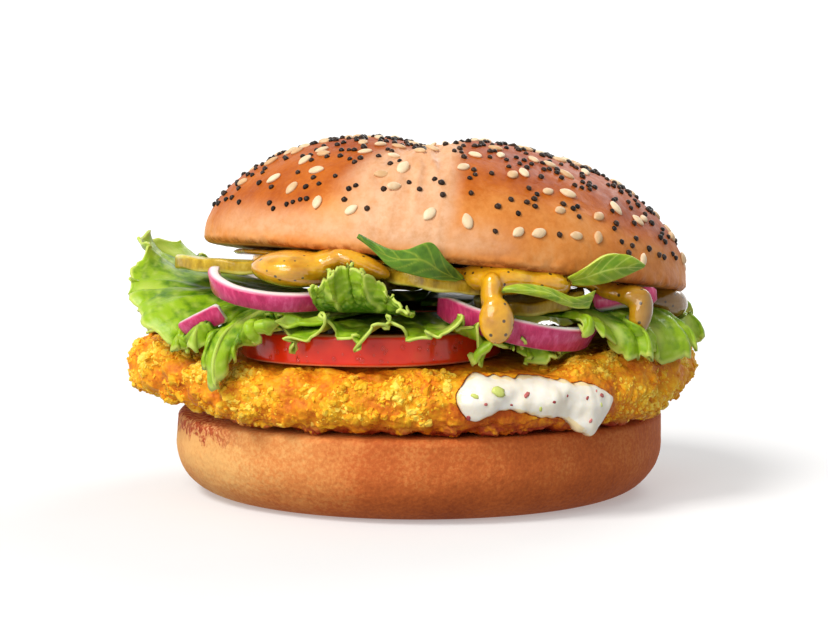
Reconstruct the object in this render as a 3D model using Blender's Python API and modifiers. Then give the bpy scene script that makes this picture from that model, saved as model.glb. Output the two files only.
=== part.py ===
"""A crispy chicken burger in a seeded bun, in metres, with +Z up.

The origin is the middle of the flat base that the burger stands on. The front is -Y and the right is +X.
Angles round the burger run from +X towards +Y, so the front is at 270 degrees.
"""

import math
import random

import bmesh
import bpy
from mathutils import Matrix, Vector, noise
from mathutils.bvhtree import BVHTree

MM = 0.001
MERGE = 0.00001
GAP = 0.35 * MM
PUSH_REACH = 5 * MM

# The bottom half of the bun
HEEL_RADIUS = 55 * MM
HEEL_HEIGHT = 18 * MM
HEEL_EDGE = 11 * MM
HEEL_LIP = 0.8 * MM
HEEL_SWELL = 0.012
HEEL_SWELL_SIZE = 34 * MM
HEEL_STEPS = 44

# The crumbed chicken patty, wider than the bun on every side
PATTY_WIDE = 64 * MM
PATTY_SHIFT = -1.2 * MM
PATTY_DEEP = 57 * MM
PATTY_NOMINAL = 60 * MM
PATTY_CORE = 52 * MM
PATTY_THICK = 13.6 * MM
PATTY_BASE = HEEL_HEIGHT + GAP
PATTY_TOP = PATTY_BASE + PATTY_THICK
PATTY_SQUARENESS = 2.4
PATTY_WAVE = 1.3 * MM
PATTY_STEPS = 70
PATTY_ROWS = 8
PATTY_LIFT = 3.6 * MM
PATTY_LIFT_RIGHT = (22 * MM, 50 * MM)
PATTY_LIFT_LEFT = (41 * MM, 60 * MM)
PATTY_CURL_RIGHT = 5 * MM
PATTY_CURL_RIGHT_FROM = (50 * MM, 64 * MM)
PATTY_CURL_LEFT = 3.4 * MM
PATTY_CURL_LEFT_FROM = (30 * MM, 54 * MM)
PATTY_RIM = (40 * MM, 53 * MM)
CRAG_DEPTH = 1.8 * MM
CRAG_SIZE = 6.5 * MM

# The cream filling: a core inside the patty, and where it has burst out of the crust, between two
# angles round the patty. Its upper and lower outline are evenly spaced heights in mm, from left to right
CREAM_FROM = math.radians(277.6)
CREAM_TO = math.radians(312.6)
CREAM_THICK = 2.0 * MM
CREAM_SUNK = 0.9 * MM
CREAM_CLEAR = 0.5 * MM
CREAM_TOP = [29.5, 31.6, 30.8, 30.7, 30.9, 29.9, 29.2, 28.6, 27.0]
CREAM_BOTTOM = [24.0, 21.6, 22.6, 23.9, 24.1, 23.6, 22.6, 22.2, 21.9, 19.2, 17.9, 20.6, 24.0]
CREAM_CORE = ((0, 0, 25.2), (44, 38, 3.2))
CREAM_WAY_OUT = ((20, -43, 26.4), (12, 14, 3.0))

# Slices of tomato: centre across, centre deep, radius
TOMATO_THICK = 6.6 * MM
TOMATO_SIDES = 34
TOMATO_SKIN = 0.9 * MM
TOMATO_LOBES = 5
TOMATO_LOBE = 0.012
TOMATO_CLEAR = 6 * MM
TOMATO_FRONT = (-10.7 * MM, -21.5 * MM, 28.5 * MM)
TOMATO_BACK = (-2 * MM, 33.5 * MM, 24 * MM)
TOMATO_BASE = PATTY_TOP + GAP
TOMATO_TOP = TOMATO_BASE + TOMATO_THICK

# The seeded top half of the bun, tilted down to the right and up at the front
CROWN_RADIUS = 54.5 * MM
CROWN_RISE = 26.8 * MM
CROWN_EDGE = 1.8 * MM
CROWN_FULLNESS = (2.9, 0.58)
CROWN_FALL = 0.065
CROWN_STEPS = 40
CROWN_ROWS = 10
CROWN_SWELL = 0.014
CROWN_SWELL_SIZE = 30 * MM
CROWN_PLACE = Vector((5.7 * MM, 0, 49.6 * MM))
CROWN_TILT = (math.radians(-4.9), math.radians(6), 0)
CLEFT_DEPTH = 3.4 * MM
CLEFT_MIDDLE = -1.1 * MM
CLEFT_SLANT_FRONT = 0.27
CLEFT_SLANT_BACK = 0.1
CLEFT_WIDTH_LEFT = 9 * MM
CLEFT_WIDTH_RIGHT = 5.5 * MM
CLEFT_FRONT = (-50 * MM, -18 * MM)
CLEFT_BACK = (8 * MM, 44 * MM)
SESAME_COUNT = 30
SESAME_SIZE = (1.65 * MM, 1.05 * MM, 0.55 * MM)
SESAME_SPACING = 9 * MM
POPPY_COUNT = 9
POPPY_RADIUS = 0.55 * MM
POPPY_SPACING = 9 * MM
SEED_APART = 2.2 * MM
SESAME_RISE = 0.35
POPPY_RISE = 0.2
SEED_RANDOM = 11

# Sauce spread under the top half of the bun
SAUCE_RADIUS = 48 * MM
SAUCE_THICK = 1.2 * MM
SAUCE_EDGE = 1 * MM
SAUCE_STEPS = 24

# Leaves: ruffles grow towards the edge, and sway and notch are shares of their depth
LEAF_THICK = 0.8 * MM
RUFFLE_GROWTH = 2.2
RUFFLE_SWAY = 0.55
RUFFLE_NOTCH = 0.6
HERB_COLUMNS = 8
HERB_ROWS = 2
HERB_BOW = 0.8 * MM

ONION_WALL = 2.2 * MM
ONION_BULGE = 0.9
ONION_FLARE = 0.25
ONION_OVAL = 0.02
ONION_STEP = 15
PICKLE_THICK = 2.8 * MM
PICKLE_SIDES = 26
PICKLE_OVAL = 0.03
PICKLE_BEND = 0.5 * MM

SHARP_FROM = math.radians(40)

CROWN_MATRIX = Matrix.LocRotScale(CROWN_PLACE, None, None) @ Matrix.Rotation(CROWN_TILT[1], 4, "Y")
CROWN_MATRIX = CROWN_MATRIX @ Matrix.Rotation(CROWN_TILT[0], 4, "X")


# Small helpers

def smooth(low, high, value):
    """0 below low, 1 above high, and an even S between them."""
    share = min(1.0, max(0.0, (value - low) / (high - low)))
    return share * share * (3 - 2 * share)


def between(values, share):
    """The value at a share of the way along an evenly spaced list, on a smooth curve."""
    place = min(max(share, 0.0), 1.0) * (len(values) - 1)
    low = min(int(place), len(values) - 2)
    part = place - low
    before, here = values[max(low - 1, 0)], values[low]
    after, beyond = values[low + 1], values[min(low + 2, len(values) - 1)]
    slope_here, slope_after = (after - before) / 2, (beyond - here) / 2
    cubic = 2 * here - 2 * after + slope_here + slope_after
    square = 3 * (after - here) - 2 * slope_here - slope_after
    return ((cubic * part + square) * part + slope_here) * part + here


def lumps(point, size, seed):
    """Even noise from -1 to 1 whose lumps are about as large as size."""
    return noise.noise(point / size + Vector((seed, -seed, 0.5 * seed)))


def clear_scene():
    for obj in list(bpy.data.objects):
        bpy.data.objects.remove(obj, do_unlink=True)


def make_collection(name):
    collection = bpy.data.collections.new(name)
    bpy.context.scene.collection.children.link(collection)
    return collection


def make_material(name, colour, roughness):
    material = bpy.data.materials.new(name)
    material.use_nodes = True
    shader = material.node_tree.nodes["Principled BSDF"]
    shader.inputs["Base Color"].default_value = (*colour, 1)
    shader.inputs["Roughness"].default_value = roughness
    shader.inputs["Metallic"].default_value = 0
    return material


def make_object(name, mesh):
    obj = bpy.data.objects.new(name, mesh)
    bpy.context.scene.collection.objects.link(obj)
    return obj


def primitive(name):
    """The object that a primitive operator has just added, under its own name."""
    obj = bpy.context.object
    obj.name = obj.data.name = name
    return obj


def apply_modifiers(obj):
    bpy.context.view_layer.update()
    graph = bpy.context.evaluated_depsgraph_get()
    mesh = bpy.data.meshes.new_from_object(obj.evaluated_get(graph))
    obj.modifiers.clear()
    obj.data = mesh
    return obj


def turned(name, profile, steps):
    """A solid of revolution from (radius, height) points, down the outer side from top to bottom."""
    mesh = bpy.data.meshes.new(name)
    points = [(radius, 0, height) for radius, height in profile]
    mesh.from_pydata(points, [(i, i + 1) for i in range(len(points) - 1)], [])
    obj = make_object(name, mesh)
    screw = obj.modifiers.new("Turn", "SCREW")
    screw.steps = screw.render_steps = steps
    screw.use_merge_vertices = True
    screw.merge_threshold = MERGE
    return apply_modifiers(obj)


def reshape(obj, move):
    """Moves each vertex of a mesh to where move puts it."""
    for vertex in obj.data.vertices:
        vertex.co = move(vertex.co.copy())
    obj.data.update()
    return obj


def face_out(obj):
    shape = bmesh.new()
    shape.from_mesh(obj.data)
    bmesh.ops.recalc_face_normals(shape, faces=shape.faces)
    shape.to_mesh(obj.data)
    shape.free()
    obj.data.update()
    return obj


def tree_of(obj):
    bpy.context.view_layer.update()
    points = [obj.matrix_world @ vertex.co for vertex in obj.data.vertices]
    return BVHTree.FromPolygons(points, [tuple(face.vertices) for face in obj.data.polygons])


def way_out(point, tree, distance):
    """How far a point has to move to be clear of a neighbour by distance."""
    near, normal, _face, span = tree.find_nearest(point, PUSH_REACH)
    if near is None:
        return Vector()
    away = point - near
    if away.dot(normal) < -0.6 * span:
        return normal * distance - away
    if span < distance:
        return away.normalized() * (distance - span)
    return Vector()


def settle(obj, neighbours, distance, rounds=10):
    """Lays a sheet against its neighbours: a point inside one or too near moves out, and drags the next."""
    trees = [tree_of(other) for other in neighbours]
    linked = [[] for _ in obj.data.vertices]
    for first, second in (edge.vertices for edge in obj.data.edges):
        linked[first].append(second)
        linked[second].append(first)
    for turn in range(rounds):
        moves = []
        for vertex in obj.data.vertices:
            moves.append(sum((way_out(vertex.co, tree, distance) for tree in trees), Vector()))
        for vertex in obj.data.vertices:
            own = moves[vertex.index]
            around = [moves[other] for other in linked[vertex.index]]
            drag = sum(around, Vector()) / len(around)
            vertex.co += own if own.length > 0 or turn == rounds - 1 else 0.6 * drag
    obj.data.update()
    return obj


def largest_piece(obj):
    """Drops all but the largest of a mesh's loose pieces."""
    shape = bmesh.new()
    shape.from_mesh(obj.data)
    unseen = set(shape.verts)
    pieces = []
    while unseen:
        piece, border = set(), [unseen.pop()]
        while border:
            vertex = border.pop()
            piece.add(vertex)
            for edge in vertex.link_edges:
                other = edge.other_vert(vertex)
                if other in unseen:
                    unseen.remove(other)
                    border.append(other)
        pieces.append(piece)
    pieces.sort(key=len)
    loose = [vertex for piece in pieces[:-1] for vertex in piece]
    bmesh.ops.delete(shape, geom=loose, context="VERTS")
    bmesh.ops.triangulate(shape, faces=shape.faces)
    shape.to_mesh(obj.data)
    shape.free()
    return obj


def inflated(other, distance):
    """A helper that is a neighbour's shape grown by distance, to cut with."""
    cutter = make_object("grown_" + other.name, other.data.copy())
    bpy.context.view_layer.update()
    cutter.matrix_world = other.matrix_world
    grow = cutter.modifiers.new("Grow", "DISPLACE")
    grow.mid_level = 0
    grow.strength = distance
    return apply_modifiers(cutter)


def cut(obj, cutter, solver="EXACT"):
    """Takes a helper's shape out of an object and keeps the largest piece."""
    difference = obj.modifiers.new("Cut", "BOOLEAN")
    difference.operation = "DIFFERENCE"
    difference.solver = solver
    difference.object = cutter
    return largest_piece(apply_modifiers(obj))


def cut_clear(obj, neighbours, distance=1.6 * GAP):
    """Cuts away whatever of a soft piece still lies within distance of its neighbours.

    The exact solver returns nothing for a sheet whose ruffles cross themselves, so this one isn't exact.
    """
    for other in neighbours:
        cutter = inflated(other, distance)
        if tree_of(obj).overlap(tree_of(cutter)):
            cut(obj, cutter, "MANIFOLD")
        bpy.data.objects.remove(cutter)
    return obj


def fuse(obj, collection):
    """Joins everything in a collection to an object with one Boolean union."""
    union = obj.modifiers.new("Fuse", "BOOLEAN")
    union.operation = "UNION"
    union.operand_type = "COLLECTION"
    union.collection = collection
    apply_modifiers(obj)
    for helper in list(collection.objects):
        bpy.data.objects.remove(helper)
    return largest_piece(obj)


def move_to(obj, collection):
    for old in list(obj.users_collection):
        old.objects.unlink(obj)
    collection.objects.link(obj)


def sheet(name, columns, rows, place):
    """An open sheet whose point at (s, t), each from 0 to 1, is where place puts it."""
    bpy.ops.mesh.primitive_grid_add(x_subdivisions=columns, y_subdivisions=rows, size=1)
    return reshape(primitive(name), lambda p: place(p.x + 0.5, p.y + 0.5))


def thicken(obj, thickness, offset=0.0):
    """Gives a sheet its thickness, both faces split into triangles alike."""
    obj.modifiers.new("Split", "TRIANGULATE").quad_method = "SHORTEST_DIAGONAL"
    solid = obj.modifiers.new("Thickness", "SOLIDIFY")
    solid.thickness = thickness
    solid.offset = offset
    return face_out(apply_modifiers(obj))


def ellipsoid(name, centre, radii, turns=(0, 0, 0), segments=7, rings=5):
    bpy.ops.mesh.primitive_uv_sphere_add(segments=segments, ring_count=rings, radius=1)
    obj = primitive(name)
    place = Matrix.Translation(Vector(centre) * MM)
    for axis, turn in zip("XYZ", turns):
        place = place @ Matrix.Rotation(math.radians(turn), 4, axis)
    size = Matrix.Diagonal((*(radius * MM for radius in radii), 1))
    obj.data.transform(place @ size)
    return obj


# The two halves of the bun

def heel_profile():
    """Cut face on top, nearly upright side, rounded lower edge and a flat base."""
    top = [(0, HEEL_HEIGHT), (HEEL_RADIUS - 1.5 * HEEL_LIP, HEEL_HEIGHT)]
    side = [(HEEL_RADIUS - HEEL_LIP / 2, HEEL_HEIGHT - HEEL_LIP)]
    middle = (HEEL_RADIUS - HEEL_EDGE, HEEL_EDGE)
    arc = [math.radians(90 * step / 5) for step in range(6)]
    edge = [(middle[0] + HEEL_EDGE * math.cos(a), middle[1] - HEEL_EDGE * math.sin(a)) for a in arc]
    return [*top, *side, *edge, (0, 0)]


def heel_shape(point):
    """The heel's side is a little uneven, and its base and cut face stay flat."""
    side = smooth(0, 5 * MM, point.z) * smooth(0.6, 0.95, math.hypot(point.x, point.y) / HEEL_RADIUS)
    swell = 1 + HEEL_SWELL * side * lumps(point, HEEL_SWELL_SIZE, 3)
    return Vector((point.x * swell, point.y * swell, point.z))


def crown_profile():
    """A full dome over a short rounded edge and a flat underside."""
    dome = []
    for row in range(CROWN_ROWS + 1):
        share = math.sin(math.radians(90 * row / CROWN_ROWS))
        fall = (1 - share ** CROWN_FULLNESS[0]) ** CROWN_FULLNESS[1]
        dome.append((CROWN_RADIUS * share, CROWN_EDGE + CROWN_RISE * fall))
    edge = []
    for turn in (30, 60, 90):
        inward = CROWN_EDGE * (1 - math.cos(math.radians(turn)))
        edge.append((CROWN_RADIUS - inward, CROWN_EDGE * (1 - math.sin(math.radians(turn)))))
    return [*dome, *edge, (0, 0)]


def cleft(x, y):
    """How deep the crease in the crust is, from 0 to 1, at a place seen from above."""
    line = CLEFT_MIDDLE + (CLEFT_SLANT_FRONT if y < 0 else CLEFT_SLANT_BACK) * y
    away = (x - line) / (CLEFT_WIDTH_LEFT if x < line else CLEFT_WIDTH_RIGHT)
    ends = smooth(*CLEFT_FRONT, y) * (1 - smooth(*CLEFT_BACK, y))
    return ends * math.exp(-abs(away) ** 1.6)


def crown_shape(point):
    """The dome falls off a little to both sides, its crust is uneven, and the crease runs over it."""
    height = smooth(0, 6 * MM, point.z)
    lean = 1 - CROWN_FALL * (point.x / CROWN_RADIUS) ** 2
    swell = 1 + height * CROWN_SWELL * lumps(point, CROWN_SWELL_SIZE, 8)
    sunk = CLEFT_DEPTH * cleft(point.x, point.y) * height
    inward = Vector((point.x, point.y, point.z + 14 * MM)).normalized()
    return Vector((point.x * swell, point.y * swell, point.z * lean * swell)) - inward * sunk


# The patty and the cream that bursts out of it

def patty_reach(angle):
    """How far the patty reaches at an angle, in metres."""
    across, deep = PATTY_DEEP * math.cos(angle), PATTY_WIDE * math.sin(angle)
    oval = PATTY_WIDE * PATTY_DEEP / math.hypot(across, deep)
    return oval + PATTY_WAVE * noise.noise(Vector((2.1 * math.cos(angle), 2.1 * math.sin(angle), 4.2)))


def patty_profile():
    """Flat faces joined by a full, rather square side."""
    half = PATTY_THICK / 2
    side = []
    for row in range(PATTY_ROWS + 1):
        turn = math.radians(90 - 180 * row / PATTY_ROWS)
        out = max(math.cos(turn), 0) ** (2 / PATTY_SQUARENESS)
        up = math.copysign(abs(math.sin(turn)) ** (2 / PATTY_SQUARENESS), turn)
        side.append((PATTY_CORE + (PATTY_NOMINAL - PATTY_CORE) * out, half + half * up))
    top = [(reach * PATTY_CORE, PATTY_THICK) for reach in (0, 0.42, 0.8)]
    return [*top, *side, (0.8 * PATTY_CORE, 0), (0, 0)]


def patty_lift(x):
    """How much thicker the patty is towards its ends, where nothing presses on it."""
    return PATTY_LIFT * (smooth(*PATTY_LIFT_RIGHT, x) + smooth(*PATTY_LIFT_LEFT, -x))


def patty_curl(x):
    """How far the patty's underside curls up towards its ends, off the bun."""
    right = PATTY_CURL_RIGHT * smooth(*PATTY_CURL_RIGHT_FROM, x)
    return right + PATTY_CURL_LEFT * smooth(*PATTY_CURL_LEFT_FROM, -x)


def in_cream(angle, height):
    """1 behind the cream and 0 away from it, at an angle and a height above the table."""
    share = ((angle % (2 * math.pi)) - CREAM_FROM) / (CREAM_TO - CREAM_FROM)
    along = smooth(-0.1, 0.02, share) * (1 - smooth(0.98, 1.1, share))
    low, high = between(CREAM_BOTTOM, share) * MM, between(CREAM_TOP, share) * MM
    above = smooth(low - 3.5 * MM, low - 1 * MM, height)
    return along * above * (1 - smooth(high + 0.4 * MM, high + 2 * MM, height))


def under_tomato(x, y):
    slices = (TOMATO_FRONT, TOMATO_BACK)
    return any(math.hypot(x - cx, y - cy) < radius + TOMATO_CLEAR for cx, cy, radius in slices)


def crags(point):
    """The broken surface of the crumb coating, from about -1 to 1."""
    large = lumps(point, CRAG_SIZE, 21)
    small = lumps(point, CRAG_SIZE * 0.45, 5)
    return 0.9 * large + 0.55 * small


def patty_shape(point):
    angle = math.atan2(point.y, point.x)
    radius = math.hypot(point.x, point.y)
    spread = patty_reach(angle) / PATTY_NOMINAL
    x, y = point.x * spread + PATTY_SHIFT * abs(math.cos(angle)), point.y * spread
    z = PATTY_BASE + point.z * (1 + patty_lift(x) / PATTY_THICK)
    z += patty_curl(x) * (1 - point.z / PATTY_THICK)
    rim = smooth(*PATTY_RIM, radius)
    hidden = in_cream(angle, z)
    out = Vector((radius - PATTY_CORE + 3 * MM, point.z - PATTY_THICK / 2)).normalized()
    push = rim * (1 - hidden) * CRAG_DEPTH * crags(Vector((x, y, z)))
    x += push * out.x * math.cos(angle)
    y += push * out.x * math.sin(angle)
    z += push * out.y
    if math.hypot(x, y) < HEEL_RADIUS + 3.5 * MM:
        z = max(z, PATTY_BASE)
    if under_tomato(x, y):
        z = min(z, PATTY_TOP)
    return Vector((x, y, z))


def cream_place(s, turn, grow):
    """The point of the burst cream at a share of its length and a turn round its section."""
    more = grow / PATTY_NOMINAL
    angle = CREAM_FROM - more + (CREAM_TO - CREAM_FROM + 2 * more) * s
    low, high = between(CREAM_BOTTOM, s) * MM, between(CREAM_TOP, s) * MM
    ends = (1 - (2 * s - 1) ** 8) ** 0.5
    height = (low + high) / 2 + ((high - low) / 2 * ends + grow) * math.sin(turn)
    face = max(math.cos(turn), 0) ** 0.6
    reach = patty_reach(angle)
    middle = PATTY_BASE + PATTY_THICK / 2
    rise = max(0.0, height - middle) / (PATTY_THICK / 2 + patty_lift(reach * math.cos(angle)))
    full = (1 - min(rise, 0.97) ** PATTY_SQUARENESS) ** (1 / PATTY_SQUARENESS)
    side = PATTY_CORE + (PATTY_NOMINAL - PATTY_CORE) * full
    back = reach * side / PATTY_NOMINAL
    lump = 1 + 0.35 * noise.noise(Vector((14 * s, height / (6 * MM), 1)))
    out = CREAM_THICK * lump * face * ends + grow if abs(turn) < math.pi / 2 else -CREAM_SUNK - grow
    radius = back + out
    shift = PATTY_SHIFT * abs(math.cos(angle))
    return Vector((radius * math.cos(angle) + shift, radius * math.sin(angle), height))


def make_cream(name, helpers, grow=0.0):
    """A blob lying along X is bent onto the patty's side and joined to the core that it has burst out of."""
    bpy.ops.mesh.primitive_uv_sphere_add(segments=8, ring_count=20, radius=1)
    obj = primitive(name)
    obj.data.transform(Matrix.Rotation(math.radians(90), 4, "Y"))

    def place(point):
        s = math.acos(max(-1.0, min(1.0, -point.x))) / math.pi
        return cream_place(s, math.atan2(point.z, -point.y), grow)

    face_out(reshape(obj, place))
    for centre, radii in (CREAM_CORE, CREAM_WAY_OUT):
        grown = [radius + grow / MM for radius in radii]
        move_to(ellipsoid("cream_inside", centre, grown, segments=14, rings=4), helpers)
    return fuse(obj, helpers)


# Leaves, from ribs at angles round the burger

LEAVES = {
    # each rib: angle in degrees, then (radius, height) in mm at the root, the middle and the edge
    "lettuce_left": {
        "ribs": [
            (152, (12, 41.8), (44, 45.0), (56, 47)),
            (168, (12, 41.8), (46, 48.2), (60, 55.5)),
            (181, (12, 41.8), (48, 47.6), (62.5, 55.5)),
            (193, (12, 41.8), (49, 46.5), (64.5, 48.5)),
            (204, (12, 41.8), (50, 45.0), (65.0, 40.5)),
            (214, (12, 41.8), (50, 44.0), (64.5, 35.8)),
            (223, (12, 41.8), (51, 43.2), (62, 36)),
            (226, (12, 41.8), (52, 42.8), (62.5, 29.2)),
            (229.5, (12, 41.8), (52, 42.6), (62.5, 28.8)),
            (233, (12, 41.8), (52, 42.4), (60, 37)),
            (239, (12, 41.8), (51, 42.2), (57, 40.4)),
            (249, (14, 41.8), (47, 42.2), (53, 42.2)),
        ],
        "waves": 6, "depth": 1.9, "columns": 31, "rows": 4, "seed": 2,
    },
    "lettuce_front": {
        "ribs": [
            (236, (12, 40.2), (42, 40.2), (55.5, 39.2)),
            (247, (12, 40.2), (44, 40.2), (57, 39.4)),
            (260, (12, 40.2), (44, 40.6), (57, 40.0)),
            (274, (12, 40.2), (44, 40.6), (57, 41.0)),
            (288, (12, 40.2), (42, 40.0), (53, 38.0)),
            (299, (12, 40.2), (41, 39.0), (52, 33.6)),
            (310, (14, 40.2), (40, 39.0), (50, 34.4)),
        ],
        "waves": 6, "depth": 2.4, "columns": 31, "rows": 3, "seed": 5,
    },
    "lettuce_curl": {
        "ribs": [
            (248, (54, 44.0), (57, 45.8), (59.5, 48)),
            (253, (50, 43.8), (56, 46), (59.5, 52.5)),
            (258, (48, 43.6), (55.5, 46.5), (59, 53.5)),
            (263, (48, 43.6), (55, 44.7), (58.5, 48.5)),
            (269, (48, 43.6), (54.5, 43.8), (58.5, 44.5)),
        ],
        "waves": 3, "depth": 1.4, "columns": 14, "rows": 4, "seed": 9,
    },
    "lettuce_right": {
        "ribs": [
            (306, (14, 41.6), (47, 42.2), (56, 41.0)),
            (318, (12, 41.6), (50, 42.8), (60, 34)),
            (330, (12, 41.6), (51, 42.8), (62.5, 33)),
            (342, (12, 41.6), (51, 42.6), (61.5, 35)),
            (356, (12, 41.6), (49, 41.8), (59.5, 38.5)),
            (372, (12, 41.6), (47, 41.4), (58, 40)),
        ],
        "waves": 5, "depth": 2.1, "columns": 25, "rows": 3, "seed": 14,
    },
    "lettuce_back_right": {
        "ribs": [
            (16, (12, 40.2), (46, 39.6), (62, 33.8)),
            (40, (12, 40.2), (46, 39.2), (61.8, 31.5)),
            (64, (12, 40.2), (46, 39.2), (61.2, 31.2)),
            (88, (12, 40.2), (46, 39.8), (60.5, 33)),
        ],
        "waves": 4, "depth": 1.8, "columns": 19, "rows": 3, "seed": 20,
    },
    "lettuce_back_left": {
        "ribs": [
            (84, (14, 41.4), (44, 41.2), (60.5, 33.5)),
            (108, (12, 41.2), (44, 41.0), (60.5, 35)),
            (132, (12, 40.4), (44, 40.8), (60.5, 37.5)),
            (152, (12, 40.2), (44, 40.4), (61, 35.5)),
            (168, (12, 40.2), (44, 40.4), (61.5, 34.5)),
            (184, (14, 40.2), (44, 40.4), (60.5, 35)),
        ],
        "waves": 5, "depth": 2.2, "columns": 24, "rows": 3, "seed": 27,
    },
}
ROW_SPREAD = 0.6


def leaf_base(leaf, s, t):
    """A leaf's unruffled surface: s runs along its edge and t from its root to its edge."""
    ribs = leaf["ribs"]
    angle = math.radians(between([rib[0] for rib in ribs], s))
    radius, height = 0.0, 0.0
    for part, weight in enumerate(((1 - t) * (1 - 2 * t), 4 * t * (1 - t), t * (2 * t - 1))):
        radius += weight * between([rib[1 + part][0] for rib in ribs], s)
        height += weight * between([rib[1 + part][1] for rib in ribs], s)
    return Vector((radius * math.cos(angle), radius * math.sin(angle), height)) * MM


def leaf_place(leaf, s, t):
    """The surface with its ruffles, which grow towards the edge and lean over along it."""
    step = 0.004
    here = leaf_base(leaf, s, t)
    along = (leaf_base(leaf, s + step, t) - leaf_base(leaf, s - step, t)).normalized()
    outward = (leaf_base(leaf, s, t + step) - leaf_base(leaf, s, t - step)).normalized()
    facing = outward.cross(along).normalized()
    seed = leaf["seed"]
    phase = 2 * math.pi * leaf["waves"] * s + 1.6 * noise.noise(Vector((5 * s, seed, 0)))
    depth = leaf["depth"] * MM * (1 + 0.5 * noise.noise(Vector((7 * s, 0, seed))))
    grown = t ** RUFFLE_GROWTH
    ruffle = depth * grown * math.sin(phase)
    sway = RUFFLE_SWAY * depth * grown * math.sin(2 * phase)
    notch = RUFFLE_NOTCH * depth * grown * math.cos(phase + 0.7)
    return here + facing * ruffle + along * sway + outward * notch


def make_leaf(name, neighbours):
    leaf = LEAVES[name]
    obj = sheet(name, leaf["columns"], leaf["rows"], lambda s, t: leaf_place(leaf, s, t ** ROW_SPREAD))
    settle(obj, neighbours, LEAF_THICK / 2 + 2.6 * GAP)
    return cut_clear(thicken(obj, LEAF_THICK), neighbours)


# Herb leaves: an upper and a lower edge, each from the tip to the stalk, in mm

HERBS = {
    "herb_leaf_centre": {
        "upper": [(-12.2, -58.6, 60.0), (-6.2, -58.6, 57.0), (-2.5, -58.4, 56.9), (2.2, -57.6, 58.4),
                  (5.4, -55.5, 54.5), (9.0, -50.5, 50.9)],
        "lower": [(-12.4, -58.8, 59.6), (-8.6, -59.2, 56.2), (-5.6, -59.2, 53.6), (-1.0, -58.6, 52.0),
                  (3.4, -56.4, 50.9), (7.6, -52.0, 50.2)],
    },
    "herb_leaf_right": {
        "upper": [(46.0, -48.5, 53.2), (42.4, -50.6, 55.4), (38.0, -51.6, 55.6), (33.8, -50.8, 53.0),
                  (29.2, -46.5, 49.9)],
        "lower": [(45.4, -48.2, 52.8), (42.0, -49.0, 51.2), (38.0, -48.6, 49.8), (33.6, -47.6, 49.2),
                  (28.6, -45.6, 49.2)],
    },
    "herb_leaf_low": {
        "upper": [(15.2, -54.2, 48.4), (20.0, -55.4, 49.7), (26.0, -54.2, 49.0), (31.5, -51.0, 46.8),
                  (36.0, -47.2, 48.0)],
        "lower": [(14.8, -54.4, 48.0), (19.6, -56.2, 48.2), (25.4, -55.2, 47.2), (30.6, -52.0, 45.0),
                  (34.6, -48.4, 44.4)],
    },
}


def herb_place(herb, s, t):
    """Between the leaf's two edges, bowed outwards a little."""
    edges = []
    for side in ("upper", "lower"):
        points = herb[side]
        edges.append(Vector([between([p[axis] for p in points], s) for axis in range(3)]) * MM)
    bow = HERB_BOW * math.sin(math.pi * t) * math.sin(math.pi * min(1.0, 0.15 + s))
    return edges[0].lerp(edges[1], t) + Vector((0, -bow, 0))


def make_herb(name, neighbours):
    obj = sheet(name, HERB_COLUMNS, HERB_ROWS, lambda s, t: herb_place(HERBS[name], s, t))
    settle(obj, neighbours, LEAF_THICK / 2 + 1.5 * GAP)
    return cut_clear(thicken(obj, LEAF_THICK), neighbours)


# Red onion: each arc's centre and outer radius in mm, the angles it runs between, band height in mm,
# and its turns about X and Y in degrees

ONIONS = {
    "onion_ring_left": ((-29.1, -38, 48.9), 14.4, (168, 372), 4.2, (13, 5)),
    "onion_piece_left": ((-36.6, -25.8, 45.4), 18, (217, 254), 4.4, (0, -28)),
    "onion_ring_right": ((18.5, -33, 42.6), 19, (221, 376), 5.4, (8, 15)),
    "onion_tip_right": ((43, -21.2, 39.4), 15, (250, 304), 3.6, (-25, -10)),
    "onion_ring_back": ((-34, 24, 46.4), 15, (30, 172), 4.2, (-4, 4)),
}


def onion_place(onion, s, t):
    _centre, radius, (start, stop), band, _turns = onion
    angle = math.radians(start + (stop - start) * s)
    bulge = ONION_BULGE * (1 - (2 * t - 1) ** 2)
    height = band * (t - 0.5)
    reach = radius - ONION_WALL / MM / 2 + bulge + ONION_FLARE * height
    reach *= 1 + ONION_OVAL * math.sin(2 * angle)
    return Vector((reach * math.cos(angle), reach * math.sin(angle), height)) * MM


def make_onion(name):
    onion = ONIONS[name]
    sweep = onion[2][1] - onion[2][0]
    obj = sheet(name, max(5, round(sweep / ONION_STEP)), 3, lambda s, t: onion_place(onion, s, t))
    thicken(obj, ONION_WALL)
    obj.location = Vector(onion[0]) * MM
    obj.rotation_euler = (math.radians(onion[4][0]), math.radians(onion[4][1]), 0)
    return obj


# Pickled cucumber slices: centre and radius in mm, and turns about X and Y in degrees

PICKLES = {
    "pickle_left": ((-38, -18, 51.2), 15, (-4, 2)),
    "pickle_centre": ((3.5, -38.5, 49.3), 13.2, (-3, 8)),
    "pickle_right": ((23.5, -30.5, 44.4), 12, (1, -4)),
    "pickle_back": ((-9, 40.5, 43.6), 13, (-3, 3)),
}


def make_pickle(name):
    centre, radius, turns = PICKLES[name]
    bpy.ops.mesh.primitive_cylinder_add(
        vertices=PICKLE_SIDES, radius=radius * MM, depth=PICKLE_THICK, end_fill_type="TRIFAN"
    )
    obj = primitive(name)
    reshape(obj, lambda p: pickle_shape(p, radius))
    obj.location = Vector(centre) * MM
    obj.rotation_euler = (math.radians(turns[0]), math.radians(turns[1]), 0)
    return obj


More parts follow.
